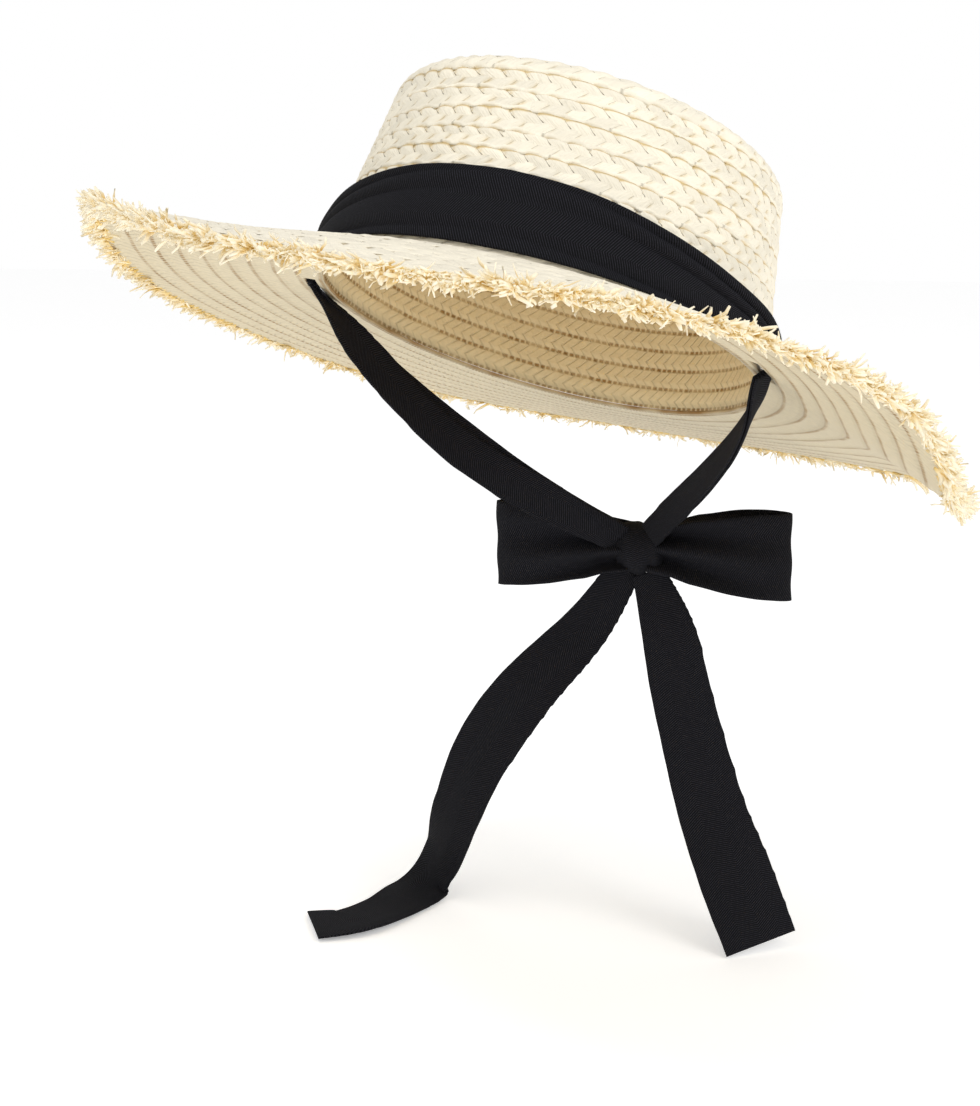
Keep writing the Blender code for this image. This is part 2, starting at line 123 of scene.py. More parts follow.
# The paper's refractive index. Then the twill: the width of its ribs in millimetres, how many degrees their
# diagonals stand off square to the ribbon, and how many millimetres apart they are along it.
PAPER_IOR = 1.48
RIB_WIDTH, TWILL_SLOPE, TWILL_PITCH = 9.0, 30, 0.95

# Square lamps aimed at the hat: name, place in metres, side in metres and power in watts. Then the world's
# white light on the hat.
LIGHTS = (
    ("key", (-0.5, -0.8, 1.95), 0.45, 11.0),
    ("fill", (1.6, -0.9, 1.0), 0.9, 12.0),
)
WORLD_LIGHT = 0.68

# The camera's place in millimetres, its turn to the left and its drop in degrees, and the focal length in
# pixels over an image that many pixels high
CAMERA_PLACE = (222.1, -774.7, 58.2)
CAMERA_TURN, CAMERA_DROP = 17.417, 10.04
FOCAL_PIXELS, IMAGE_HEIGHT = 2117.4, 1106


class PaperHatSizes(bpy.types.PropertyGroup):
    """Sizes of the hat and its ribbon."""

    head_length: FloatProperty(name="Opening length", description="Front to back, inside the crown",
                               default=197 * MM, unit="LENGTH")
    head_width: FloatProperty(name="Opening width", description="Side to side, inside the crown",
                              default=169 * MM, unit="LENGTH")
    crown_height: FloatProperty(name="Crown height", description="From the opening to the crown's edge",
                                default=76 * MM, unit="LENGTH")
    crown_lean: FloatProperty(name="Crown lean", description="How far the side leans in, from upright",
                              default=math.radians(10.2), subtype="ANGLE")
    crown_edge: FloatProperty(name="Crown edge", description="Radius of the crown's rounded top edge",
                              default=6.5 * MM, unit="LENGTH")
    top_rise: FloatProperty(name="Top rise", description="How much the top is domed", default=1.5 * MM,
                            unit="LENGTH")
    straw_thickness: FloatProperty(name="Straw thickness", description="Wall of one sewn layer",
                                   default=2 * MM, unit="LENGTH")
    side_rounds: IntProperty(name="Side rounds", description="Rounds of plait up the crown's side", default=9)
    top_rounds: IntProperty(name="Top rounds", description="Rounds of plait on the crown's top", default=9)
    brim_rounds: IntProperty(name="Brim rounds", description="Rounds of plait across the brim", default=9)
    leaf_length: FloatProperty(name="Leaf length", description="Length of one visible fold of the plait",
                               default=9.6 * MM, unit="LENGTH")
    relief: FloatProperty(name="Plait relief", description="Height of the plait's folds", default=1.4 * MM,
                          unit="LENGTH")
    brim_width: FloatProperty(name="Brim width", description="Along the brim, without the fringe",
                              default=82 * MM, unit="LENGTH")
    brim_curl: FloatProperty(name="Brim curl", description="Power that bends the brim's slope", default=1.3)
    fringe_length: FloatProperty(name="Fringe length", description="Longest loose end", default=12 * MM,
                                 unit="LENGTH")
    fringe_ends: IntProperty(name="Fringe ends", description="Loose ends in each half of the fringe",
                             default=3400)
    tip_back: FloatProperty(name="Tip back", description="How far the hat is tipped back",
                            default=math.radians(20), subtype="ANGLE")
    tip_left: FloatProperty(name="Tip left", description="How far it is tipped to the wearer's left",
                            default=math.radians(9.8), subtype="ANGLE")
    ribbon_width: FloatProperty(name="Ribbon width", description="Flat width", default=36 * MM, unit="LENGTH")
    ribbon_thickness: FloatProperty(name="Ribbon thickness", description="Thickness of the twill",
                                    default=0.8 * MM, unit="LENGTH")
    slit_left: FloatProperty(name="Left slit", description="Turn of the wearer's left slit from the front",
                             default=math.radians(79), subtype="ANGLE")
    slit_right: FloatProperty(name="Right slit", description="Turn of the wearer's right slit",
                              default=math.radians(85), subtype="ANGLE")
    slit_offset: FloatProperty(name="Slit offset", description="From the crown's wall to the slit's middle",
                               default=4.8 * MM, unit="LENGTH")
    slit_length: FloatProperty(name="Slit length", description="Along the wall", default=24 * MM,
                               unit="LENGTH")
    slit_width: FloatProperty(name="Slit width", description="Across the slit", default=4 * MM, unit="LENGTH")
    loop_length: FloatProperty(name="Loop length", description="From the knot to a loop's end",
                               default=52.5 * MM, unit="LENGTH")


class PaperHatColours(bpy.types.PropertyGroup):
    """Colours of the hat, as sRGB hex values."""

    straw: StringProperty(name="Straw", description="Bleached paper straw in the light", default="#F8F0DC")
    # Painted shade in the creases between the folds: a darker, warmer copy of the straw
    straw_painted_shade: StringProperty(name="Straw shade", description="Creases between the folds",
                                default="#D9BE85")
    # Painted shade along the folds' edges and in the gaps at their tips
    straw_gap_shadow: StringProperty(name="Straw gap", description="Gaps at the tips of the folds",
                              default="#56461F")
    under: StringProperty(name="Underside", description="Back of the sewn plait", default="#D6C8A8")
    # Painted shade inside the crown: a warmer copy of the underside's colour
    inside: StringProperty(name="Inside", description="Inside of the crown", default="#DCC596")
    seam: StringProperty(name="Seam", description="Stitch lines on the underside", default="#98723A")
    # Painted warm shade at the roots of the fringe, also the colour of its painted glow and of the
    # underside's specks
    fringe_root: StringProperty(name="Fringe root", description="Inside of the frayed edge",
                                default="#F2CF78")
    fringe_tip: StringProperty(name="Fringe tip", description="Ends of the frayed edge", default="#FBF3DE")
    twill: StringProperty(name="Twill", description="Black cotton ground", default="#050506")
    # Painted sheen on the raised threads of the herringbone, lighter and cooler than the black ground
    twill_sheen_line: StringProperty(name="Twill line", description="Raised threads of the twill",
                               default="#45454F")


def sizes():
    """Sizes set on the scene."""
    return bpy.context.scene.paper_hat_sizes


def colours():
    """Colours set on the scene."""
    return bpy.context.scene.paper_hat_colours


def linear(hex_colour):
    """Linear RGBA of an sRGB hex value."""
    srgb = np.array([int(hex_colour[i:i + 2], 16) / 255 for i in (1, 3, 5)])
    return (*np.where(srgb <= 0.04045, srgb / 12.92, ((srgb + 0.055) / 1.055)**2.4), 1.0)


def add_node(tree, kind, inputs=None, **settings):
    """Add a shader node with its settings, and fill its inputs by name or number: with a value, with a link
    from a socket, or with a link from a node's first output that is in use."""
    node = tree.nodes.new("ShaderNode" + kind)
    for name, value in settings.items():
        setattr(node, name, value)
    for key, value in (inputs or {}).items():
        if isinstance(value, bpy.types.Node):
            value = next(socket for socket in value.outputs if socket.enabled)
        if isinstance(value, bpy.types.NodeSocket):
            tree.links.new(value, node.inputs[key])
        else:
            node.inputs[key].default_value = value
    return node


def new_material(name):
    """Empty material, and the tree that its nodes go into."""
    material = bpy.data.materials.new(name)
    material.use_nodes = True
    tree = material.node_tree
    tree.nodes.clear()
    return material, tree


def finish_material(tree, shader):
    """Join a material's shader to its output."""
    add_node(tree, "OutputMaterial", {"Surface": shader})


def straw_material():
    """Bleached paper straw, plaited from pleated strips: soft satin folds, each a touch lighter or darker
    than the next, with fine pleats along them, painted tan shade in the creases between them, and painted
    dark shade along their edges and in the gaps at their tips."""
    c = colours()
    material, tree = new_material("bleached_paper_plait")
    fold = add_node(tree, "UVMap", uv_map="fold")
    place = add_node(tree, "TexCoord").outputs["Object"]
    crease = add_node(tree, "Attribute", attribute_name="crease").outputs["Fac"]
    number = add_node(tree, "VectorMath", {0: fold}, operation="FLOOR")
    tone = add_node(tree, "TexWhiteNoise", {"Vector": number}, noise_dimensions="3D")
    stretch = add_node(tree, "Mapping", {"Vector": fold, "Scale": (11.0, 1.6, 1.0)})
    pleats = add_node(tree, "TexNoise", {"Vector": stretch, "Scale": 1.0, "Detail": 2.0, "Roughness": 0.55})
    grain = add_node(tree, "TexNoise", {"Vector": place, "Scale": 1400.0, "Detail": 2.0})
    cloud = add_node(tree, "TexNoise", {"Vector": place, "Scale": 24.0, "Detail": 1.0})
    # Painted shade: where the crease attribute is low, in the creases and under the next round, the straw
    # turns to its darker, warmer shaded copy
    light = add_node(tree, "MapRange", {"Value": crease, "From Min": 0.05, "From Max": 0.75},
                     interpolation_type="SMOOTHSTEP")
    # Painted shade: a thin dark line along each fold's edge that ends in a dark gap at its tip, at the middle
    # of the round
    parts = add_node(tree, "SeparateXYZ", {0: fold})
    off_edge = add_node(tree, "Math", {0: parts.outputs["X"], 1: 0.5}, operation="PINGPONG")
    into = add_node(tree, "Math", {0: parts.outputs["Y"]}, operation="FRACT")
    wide = add_node(tree, "MapRange", {"Value": into, "From Min": 0.40, "From Max": 0.74,
                                       "To Min": 0.024, "To Max": 0.078})
    line = add_node(tree, "MapRange", {"Value": off_edge, "From Min": 0.0, "From Max": wide,
                                       "To Min": 1.0, "To Max": 0.0}, interpolation_type="SMOOTHSTEP")
    deep = add_node(tree, "MapRange", {"Value": into, "From Min": 0.2, "From Max": 0.62,
                                       "To Min": 0.38, "To Max": 1.0})
    line = add_node(tree, "Math", {0: line, 1: deep}, operation="MULTIPLY")
    soft = add_node(tree, "Mix", {"Factor": light, "A": linear(c.straw_painted_shade), "B": linear(c.straw)},
                    data_type="RGBA")
    base = add_node(tree, "Mix", {"Factor": line, "A": soft, "B": linear(c.straw_gap_shadow)}, data_type="RGBA")
    level = add_node(tree, "Math", {0: tone, 1: 0.13, 2: 0.90}, operation="MULTIPLY_ADD")
    for noise, amount in ((pleats, 0.16), (cloud, 0.08)):
        level = add_node(tree, "Math", {0: noise, 1: amount, 2: level}, operation="MULTIPLY_ADD")
    level = add_node(tree, "Math", {0: level, 1: 0.11}, operation="SUBTRACT")
    toned = add_node(tree, "HueSaturation", {"Color": base, "Value": level})
    height = add_node(tree, "Math", {0: grain, 1: 0.12, 2: pleats}, operation="MULTIPLY_ADD")
    bump = add_node(tree, "Bump", {"Height": height, "Strength": 0.8, "Distance": 0.6 * MM})
    rough = add_node(tree, "MapRange", {"Value": pleats, "To Min": 0.42, "To Max": 0.62})
    shader = add_node(tree, "BsdfPrincipled",
                      {"Base Color": toned, "Roughness": rough, "IOR": PAPER_IOR, "Normal": bump})
    finish_material(tree, shader)
    return material


def underside_material():
    """Back of the sewn plait: the same paper pressed flat, greyer and more even, with a lockstitch seam along
    every round in brown thread, and scattered golden specks."""
    c = colours()
    material, tree = new_material("sewn_plait_back")
    plan = add_node(tree, "UVMap", uv_map="fold")
    place = add_node(tree, "TexCoord").outputs["Object"]
    parts = add_node(tree, "SeparateXYZ", {0: plan})
    wander = add_node(tree, "TexNoise", {"Vector": place, "Scale": 90.0, "Detail": 1.0})
    across = add_node(tree, "Math", {0: wander, 1: 0.10, 2: parts.outputs["Y"]}, operation="MULTIPLY_ADD")
    within = add_node(tree, "Math", {0: across}, operation="FRACT")
    off_seam = add_node(tree, "Math", {0: within, 1: 0.12}, operation="SUBTRACT")
    off_seam = add_node(tree, "Math", {0: off_seam}, operation="ABSOLUTE")
    seam = add_node(tree, "MapRange", {"Value": off_seam, "From Min": 0.12, "From Max": 0.03},
                    interpolation_type="SMOOTHSTEP")
    # Beads of thread, 3.2 to a fold, worn thin here and there
    beat = add_node(tree, "Math", {0: parts.outputs["X"], 1: 3.2, 2: wander}, operation="MULTIPLY_ADD")
    beat = add_node(tree, "Math", {0: beat, 1: 0.5}, operation="PINGPONG")
    dash = add_node(tree, "MapRange", {"Value": beat, "From Min": 0.06, "From Max": 0.30, "To Min": 0.15},
                    interpolation_type="SMOOTHSTEP")
    worn = add_node(tree, "MapRange", {"Value": wander, "From Min": 0.35, "From Max": 0.65,
                                       "To Min": 0.45, "To Max": 1.0})
    stitch = seam
    for factor in (dash, worn):
        stitch = add_node(tree, "Math", {0: stitch, 1: factor}, operation="MULTIPLY")
    # The crease attribute is 0 on the crown's back, whose inside takes painted warm shade, and 1 on the
    # brim's back
    inside = add_node(tree, "Attribute", attribute_name="crease").outputs["Fac"]
    stretch = add_node(tree, "Mapping", {"Vector": plan, "Scale": (3.0, 5.0, 1.0)})
    weave = add_node(tree, "TexVoronoi", {"Vector": stretch, "Scale": 1.0, "Randomness": 0.75}, feature="F1")
    speck = add_node(tree, "MapRange", {"Value": weave, "From Min": 0.16, "From Max": 0.06})
    speck = add_node(tree, "Math", {0: speck, 1: wander}, operation="MULTIPLY")
    mottled = add_node(tree, "TexNoise", {"Vector": place, "Scale": 420.0, "Detail": 3.0})
    # The folds show through as faint chevrons, two to a fold
    fall = add_node(tree, "Math", {0: across, 1: 0.5}, operation="PINGPONG")
    chevron = add_node(tree, "Math", {0: parts.outputs["X"], 1: 2.0}, operation="MULTIPLY")
    chevron = add_node(tree, "Math", {0: fall, 1: -1.7, 2: chevron}, operation="MULTIPLY_ADD")
    chevron = add_node(tree, "Math", {0: chevron, 1: 0.5}, operation="PINGPONG")
    faint = add_node(tree, "MapRange", {"Value": chevron, "From Min": 0.02, "From Max": 0.16,
                                        "To Min": worn, "To Max": 0.0}, interpolation_type="SMOOTHSTEP")
    value = add_node(tree, "MapRange", {"Value": mottled, "To Min": 0.88, "To Max": 1.12})
    value = add_node(tree, "Math", {0: faint, 1: -0.13, 2: value}, operation="MULTIPLY_ADD")
    # Painted shade: the crown's inside gets the warmer copy of the underside's colour
    warm = add_node(tree, "Mix", {"Factor": inside, "A": linear(c.inside), "B": linear(c.under)},
                    data_type="RGBA")
    base = add_node(tree, "HueSaturation", {"Color": warm, "Value": value})
    for factor, colour in ((speck, c.fringe_root), (stitch, c.seam)):
        base = add_node(tree, "Mix", {"Factor": factor, "A": base, "B": linear(colour)}, data_type="RGBA")
    # Each round swells between its seams
    swell = add_node(tree, "MapRange", {"Value": off_seam, "From Min": 0.0, "From Max": 0.34, "To Max": 1.6},
                     interpolation_type="SMOOTHSTEP")
    relief = add_node(tree, "Math", {0: mottled, 1: stitch}, operation="SUBTRACT")
    relief = add_node(tree, "Math", {0: relief, 1: swell})
    relief = add_node(tree, "Math", {0: relief, 1: faint}, operation="SUBTRACT")
    bump = add_node(tree, "Bump", {"Height": relief, "Strength": 0.7, "Distance": 0.5 * MM})
    shader = add_node(tree, "BsdfPrincipled",
                      {"Base Color": base, "Roughness": 0.6, "IOR": PAPER_IOR, "Normal": bump})
    finish_material(tree, shader)
    return material


def fringe_material():
    """Loose paper strips, untwisted: golden where they leave the stitching and paler towards their ends,
    which is painted warm shade among the roots, with a fine crinkle along each. The little golden light they
    give off is a painted glow that stands for what shines through such thin paper."""
    c = colours()
    material, tree = new_material("frayed_paper_strips")
    plan = add_node(tree, "UVMap", uv_map="fold")
    parts = add_node(tree, "SeparateXYZ", {0: plan})
    tone = add_node(tree, "TexWhiteNoise", {"W": parts.outputs["X"]}, noise_dimensions="1D")
    # Painted shade: golden at the roots, among the other strips, and paler towards the tips
    turn_pale = add_node(tree, "Math", {0: tone, 1: 0.7, 2: parts.outputs["Y"]}, operation="MULTIPLY_ADD")
    pale = add_node(tree, "MapRange", {"Value": turn_pale, "From Min": 0.25, "From Max": 1.30},
                    interpolation_type="SMOOTHSTEP")
    base = add_node(tree, "Mix", {"Factor": pale, "A": linear(c.fringe_root), "B": linear(c.fringe_tip)},
                    data_type="RGBA")
    level = add_node(tree, "MapRange", {"Value": tone, "To Min": 0.86, "To Max": 1.06})
    toned = add_node(tree, "HueSaturation", {"Color": base, "Value": level})
    crinkle = add_node(tree, "TexNoise", {"Vector": plan, "Scale": 9.0, "Detail": 2.0})
    bump = add_node(tree, "Bump", {"Height": crinkle, "Strength": 0.4, "Distance": 0.3 * MM})
    shader = add_node(tree, "BsdfPrincipled",
                      {"Base Color": toned, "Roughness": 0.55, "IOR": PAPER_IOR, "Normal": bump,
                       "Emission Color": linear(c.fringe_root), "Emission Strength": 0.10})
    finish_material(tree, shader)
    return material


def twill_material():
    """Black cotton woven in herringbone: ribs along the ribbon whose fine diagonals turn back at each rib, a
    soft matt face, and the weave's raised threads painted lighter and cooler as a faint painted sheen."""
    c = colours()
    material, tree = new_material("black_cotton_herringbone")
    cloth = add_node(tree, "UVMap", uv_map="fold")
    parts = add_node(tree, "SeparateXYZ", {0: cloth})
    rib = add_node(tree, "Math", {0: parts.outputs["Y"], 1: RIB_WIDTH}, operation="PINGPONG")
    slope = math.tan(math.radians(TWILL_SLOPE))
    line = add_node(tree, "Math", {0: rib, 1: slope, 2: parts.outputs["X"]}, operation="MULTIPLY_ADD")
    turn = add_node(tree, "Math", {0: line, 1: FULL_TURN / TWILL_PITCH}, operation="MULTIPLY")
    wave = add_node(tree, "Math", {0: turn}, operation="SINE")
    threads = add_node(tree, "MapRange", {"Value": wave, "From Min": -1.0, "From Max": 1.0,
                                          "To Min": 0.0, "To Max": 1.0})
    fuzz = add_node(tree, "TexNoise", {"Vector": cloth, "Scale": 2.2, "Detail": 3.0})
    # Painted sheen: the weave's raised threads are painted lighter and cooler than the black ground
    raised = add_node(tree, "Math", {0: threads, 1: fuzz}, operation="MULTIPLY")
    raised = add_node(tree, "Math", {0: raised, 1: 1.6}, operation="POWER")
    base = add_node(tree, "Mix", {"Factor": raised, "A": linear(c.twill), "B": linear(c.twill_sheen_line)},
                    data_type="RGBA")
    height = add_node(tree, "Math", {0: fuzz, 1: 0.5, 2: threads}, operation="MULTIPLY_ADD")
    bump = add_node(tree, "Bump", {"Height": height, "Strength": 0.7, "Distance": 0.25 * MM})
    shader = add_node(tree, "BsdfPrincipled",
                      {"Base Color": base, "Roughness": 0.85, "IOR": 1.45, "Specular IOR Level": 0.15,
                       "Normal": bump})
    finish_material(tree, shader)
    return material


def stage_material():
    """Matt white studio paper, which gives off some light so that it stays white under the hat."""
    material, tree = new_material("white_studio_paper")
    white = linear("#FFFFFF")
    shader = add_node(tree, "BsdfPrincipled", {"Base Color": white, "Roughness": 0.9,
                                               "Emission Color": white, "Emission Strength": 0.30})
    finish_material(tree, shader)
    return material


def material_named(make):
    """One copy of each material, made when it is first asked for."""
    if make.__name__ not in material_named.made:
        material_named.made[make.__name__] = make()
    return material_named.made[make.__name__]


material_named.made = {}


def smooth_through(values, share):
    """Values on a Catmull-Rom curve through an even row of values, at shares of it from 0 to 1."""
    values = np.asarray(values, dtype=float)
    padded = np.concatenate([[2 * values[0] - values[1]], values, [2 * values[-1] - values[-2]]])
    place = np.clip(share, 0, 1) * (len(values) - 1)
    i = np.minimum(place.astype(int), len(values) - 2)
    f = place - i
    p0, p1, p2, p3 = padded[i], padded[i + 1], padded[i + 2], padded[i + 3]
    return 0.5 * (2 * p1 + (p2 - p0) * f + (2 * p0 - 5 * p1 + 4 * p2 - p3) * f**2
                  + (3 * p1 - p0 - 3 * p2 + p3) * f**3)


def wave_rise(turn):
    """Height of the brim's edge at turns in radians, as shares of the brim's width: the smooth curve round
    the closed row of heights."""
    count = len(BRIM_RISE)
    values = np.array([BRIM_RISE[i % count] for i in range(-1, count + 2)])
    share = (np.degrees(turn) % 360.0) / 360.0 * count
    return smooth_through(values, (share + 1) / (len(values) - 1))


def unit(vectors):
    """Vectors of length 1, along the last axis."""
    return vectors / np.linalg.norm(vectors, axis=-1, keepdims=True)


def outer_halves():
    """Half width and half length of the crown's outer oval at the head opening."""
    s = sizes()
    return s.head_width / 2 + s.straw_thickness, s.head_length / 2 + s.straw_thickness


def oval(turn, out):
    """Points at turns from the front, a distance out from the crown's oval along its normal."""
    half_width, half_length = outer_halves()
    turn, out = np.broadcast_arrays(turn, out)
    normal = unit(np.stack([np.sin(turn) / half_width, -np.cos(turn) / half_length], -1))
    return np.stack([half_width * np.sin(turn), -half_length * np.cos(turn)], -1) + normal * out[..., None]


def brim_place(out, turn, proud):
    """Points on the brim: out along its slope, whose height is the wave's share of the width times the curl
    power of the distance, and proud of it square to the slope."""
    s = sizes()
    out, turn, proud = np.broadcast_arrays(out, turn, proud)
    rise = wave_rise(turn)
    share = np.maximum(out, 0.0) / s.brim_width
    height = s.brim_width * rise * share**s.brim_curl
    reach = out * np.sqrt(1.0 - rise**2)
    slope = rise * s.brim_curl * share**(s.brim_curl - 1)
    tilt = 1.0 / np.sqrt(1.0 + slope**2)
    flat = oval(turn, reach - proud * slope * tilt)
    return np.concatenate([flat, (height + proud * tilt)[..., None]], -1)


def crown_place(run, turn, proud):
    """Points on the crown's side and rounded edge: the run goes up the leaning side from the opening, then a
    quarter circle over the edge. The section is turned about the upright axis and narrowed to the oval."""
    s = sizes()
    half_width, half_length = outer_halves()
    run, turn, proud = np.broadcast_arrays(run, turn, proud)
    side_height = s.crown_height - s.crown_edge
    side_run = side_height / math.cos(s.crown_lean)
    edge_radius = half_length - side_height * math.tan(s.crown_lean)
    angle = np.clip((run - side_run) / s.crown_edge, 0.0, math.pi / 2)
    on_side = run < side_run
    radius = np.where(on_side, half_length - run * math.sin(s.crown_lean),
                      edge_radius - s.crown_edge * (1 - np.cos(angle)))
    height = np.where(on_side, run * math.cos(s.crown_lean), side_height + s.crown_edge * np.sin(angle))
    # The folds stand square to the wall, which starts to turn over a little below its edge
    turning = math.pi / 10
    lean = np.where(on_side, s.crown_lean + (turning - s.crown_lean) * (run / side_run)**8,
                    np.maximum(angle, turning))
    radius = radius + proud * np.cos(lean)
    height = height + proud * np.sin(lean)
    return np.stack([radius * half_width / half_length * np.sin(turn), -radius * np.cos(turn), height], -1)


def top_halves():
    """Half width and half length of the oval where the crown's flat top starts."""
    s = sizes()
    half_width, half_length = outer_halves()
    long_half = half_length - (s.crown_height - s.crown_edge) * math.tan(s.crown_lean) - s.crown_edge
    return long_half * half_width / half_length, long_half


def top_place(run, turn, proud):
    """Points on the crown's top: the run goes in from its oval edge, which shrinks by the same step along
    both axes until it is a short line along the middle, on a low dome."""
    s = sizes()
    run, turn, proud = np.broadcast_arrays(run, turn, proud)
    half_width, half_length = top_halves()
    share = 1.0 - run / half_width
    height = s.crown_height + s.top_rise * (1 - share**2) + proud
    return np.stack([(half_width - run) * np.sin(turn), -(half_length - run) * np.cos(turn), height], -1)


def hat_turn():
    """Matrix that tips the hat's frame back about X and then to the wearer's left about Y."""
    s = sizes()
    a, b = -s.tip_back, s.tip_left
    about_x = np.array([[1, 0, 0], [0, math.cos(a), -math.sin(a)], [0, math.sin(a), math.cos(a)]])
    about_y = np.array([[math.cos(b), 0, math.sin(b)], [0, 1, 0], [-math.sin(b), 0, math.cos(b)]])
    return about_y @ about_x


def held(value):
    """Values held between 0 and 1."""
    return np.clip(value, 0.0, 1.0)


def leaf_row(leaning, depth):
    """Height of a row of folds, from 0 to about 1. Each fold comes out from under the one before it, swells
    and falls as most of a half sine, and is round across the row: depth runs from 0 at the plait's edge to 1
    at its middle."""
    share = leaning - np.floor(leaning)
    rise = 0.08 + 0.92 * np.sin(math.pi * (0.06 + 0.80 * share))**0.75
    vary = 0.12 * np.sin(np.floor(leaning) * 12.99)
    return (rise + vary) * np.sqrt(held(1.0 - ((depth - 0.48) / 0.74)**2))


def fold_lean(along, depth):
    """Folds counted along the plait, less the lean of each with its depth into the row."""
    return along - 0.32 * depth - 0.16 * depth**2


# Depth into a row of folds gained over a whole round, how much higher a round's proud edge stands than its
# covered one, and how much of the painted dark shade along a lower row's edges is shown
DEPTH_PER_ROUND = 1.95
ROUND_SLOPE = 0.20
LOW_SHOWN = 0.42


def low_depth(up):
    """Depth into the lower row of folds, which starts near the proud edge."""
    return (up - 0.10) * DEPTH_PER_ROUND


def high_depth(up):
    """Depth into the upper row of folds, which starts near the covered edge."""
    return (1.08 - up) * DEPTH_PER_ROUND


def plait_height(along, up):
    """Height of a round of plait and which of its parts is on top: two rows of folds that lean towards each
    other half a fold apart, and a wavy cord of turned edges low on the round. up runs from 0 at the proud
    edge to 1 where the next round covers it."""
    low = leaf_row(fold_lean(along, low_depth(up)), low_depth(up))
    high = leaf_row(fold_lean(along + 0.5, high_depth(up)), high_depth(up))
    wave = 0.055 * np.sin(along * FULL_TURN) + 0.03 * np.sin(along * 0.61 * FULL_TURN + 1.0)
    off = (up - 0.11 - wave) / 0.085
    cord = np.where(np.abs(off) < 1, 0.35 + 0.6 * np.sqrt(held(1.0 - off**2)), -1.0)
    parts = np.stack([0.98 * low, 1.22 * high, cord])
    return parts.max(0) + ROUND_SLOPE * (1.0 - up), parts.argmax(0)


# Shares up a round where the mesh has rows: close at the proud edge, even over the folds
ROUND_ROWS = (0.0, 0.05, 0.11, 0.18, 0.28, 0.40, 0.52, 0.64, 0.78, 0.92)


def even_turns(columns):
    """Turns of the columns of a closed grid, from the front all the way round."""
    return np.arange(columns) / columns * FULL_TURN


def plait_folds(perimeters, columns, seed):
    """Folds counted along each round at each column and at the seam: a whole number over the round, a start
    of its own, and a slow stretch and squeeze as in hand work."""
    rng = np.random.default_rng(seed)
    counts = np.maximum(6, np.round(np.asarray(perimeters) / sizes().leaf_length))[:, None]
    share = np.linspace(0, 1, columns + 1)[None, :]
    start, first, second = rng.random((3, len(perimeters), 1)) * FULL_TURN
    drift = 0.30 * np.sin(3 * FULL_TURN * share + first) + 0.12 * np.sin(11 * FULL_TURN * share + second)
    return counts * share + start + drift


def plait_skin(place, rounds, pitch, perimeters, columns, seed, gaps=1.0, loft=1.0):
    """Rows of points over a sewn surface, round after round from the first proud edge: place(run, turn,
    proud) carries them onto the surface, gaps is how dark the painted shade at the tips and edges of the
    folds is, and loft how far the folds stand up and how deep the painted shade in their creases is. Returns
    points, the painted shade value of each (1 lit, 0 in full shade), and the fold coordinates of the corners
    of the faces."""
    s = sizes()
    folds = plait_folds(perimeters, columns, seed)
    turn = even_turns(columns)
    rng = np.random.default_rng(seed + 1)
    swing = rng.random(rounds) * FULL_TURN
    overhang = 0.4 * MM
    runs, prouds, creases = [], [], []
    for k in range(rounds):
        # The round's edge wanders a little along its seam
        drift = 0.35 * MM * np.sin(2 * turn + swing[k]) + 0.2 * MM * np.sin(7 * turn + 2 * swing[k])
        drift = drift if k else 0 * drift
        if k:
            under, _ = plait_height(folds[k - 1, :-1], np.full(columns, 1.0))
            runs.append(k * pitch + drift)
            prouds.append(under)
            # Full painted shade on the step under the round's proud edge
            creases.append(np.zeros(columns))
        for up in ROUND_ROWS:
            height, _ = plait_height(folds[k, :-1], np.full(columns, up))
            edge = overhang * (0.8 - 1.3 * np.sin(folds[k, :-1] * FULL_TURN)) if up == 0.0 and k else 0.0
            runs.append((k + up) * pitch + drift * (1 - up) - edge)
            prouds.append(height if up > 0 else height * 0.9)
            # Painted shade: dark low down, and in the last of the round, where the next one covers it
            creases.append(held(height - ROUND_SLOPE * (1 - up)) * (0.55 + 0.45 * held((0.97 - up) / 0.12)))
    runs.append(np.full(columns, rounds * pitch))
    prouds.append(plait_height(folds[-1, :-1], np.full(columns, 1.0))[0])
    creases.append(np.full(columns, 0.3))
    runs, prouds, creases = np.array(runs), np.array(prouds), 1 - (1 - np.array(creases)) * loft
    # The folds' tops lie just over the solid's surface, their creases under it
    sunk = 1.2
    points = place(runs, turn[None, :], s.relief * loft * (prouds - sunk))
    return points, creases, plait_corners(folds, rounds, gaps)


def plait_corners(folds, rounds, gaps):
    """Fold coordinates of each face's corners, in the row of folds that is on top at the face's middle: folds
    counted along with their lean, and how strong the painted shade along their edges is, which grows with
    depth. Whole steps of that coordinate keep the rows and rounds apart."""
    blocks = []
    ups = [*ROUND_ROWS, 1.0]
    for k in range(rounds):
        pairs = list(zip(ups[:-1], ups[1:]))
        if k:
            pairs = [(0.0, 0.0), *pairs]
        for low, high in pairs:
            along = np.stack([folds[k, :-1], folds[k, 1:], folds[k, 1:], folds[k, :-1]], -1)
            up = np.broadcast_to([low, low, high, high], along.shape)
            _, part = plait_height(along.mean(-1), up.mean(-1))
            part = part[:, None]
            depth = np.where(part == 0, low_depth(up), np.where(part == 1, high_depth(up), 0.5))
            count = np.where(part == 0, fold_lean(along, depth),
                             np.where(part == 1, fold_lean(along + 0.5, depth), along * 0.25))
            layer = 3 * (3 * k + part) + 1
            # Painted shade: the upper row's edges darken with depth, the lower row's and the cord's stay
            # faint
            shown = gaps * np.where(part == 1, 1.0, LOW_SHOWN) * np.clip(depth, 0.0, 1.2)
            blocks.append(np.stack([count, shown * 0.6 + 0.1 + layer], -1))
    return np.array(blocks)


def grid_quads(rows, columns, start=0):
    """Corners of the quads of a grid of points whose last column joins its first."""
    r, c = np.meshgrid(np.arange(rows - 1), np.arange(columns), indexing="ij")
    right = (c + 1) % columns
    return start + np.stack([r * columns + c, r * columns + right, (r + 1) * columns + right,
                             (r + 1) * columns + c], -1)


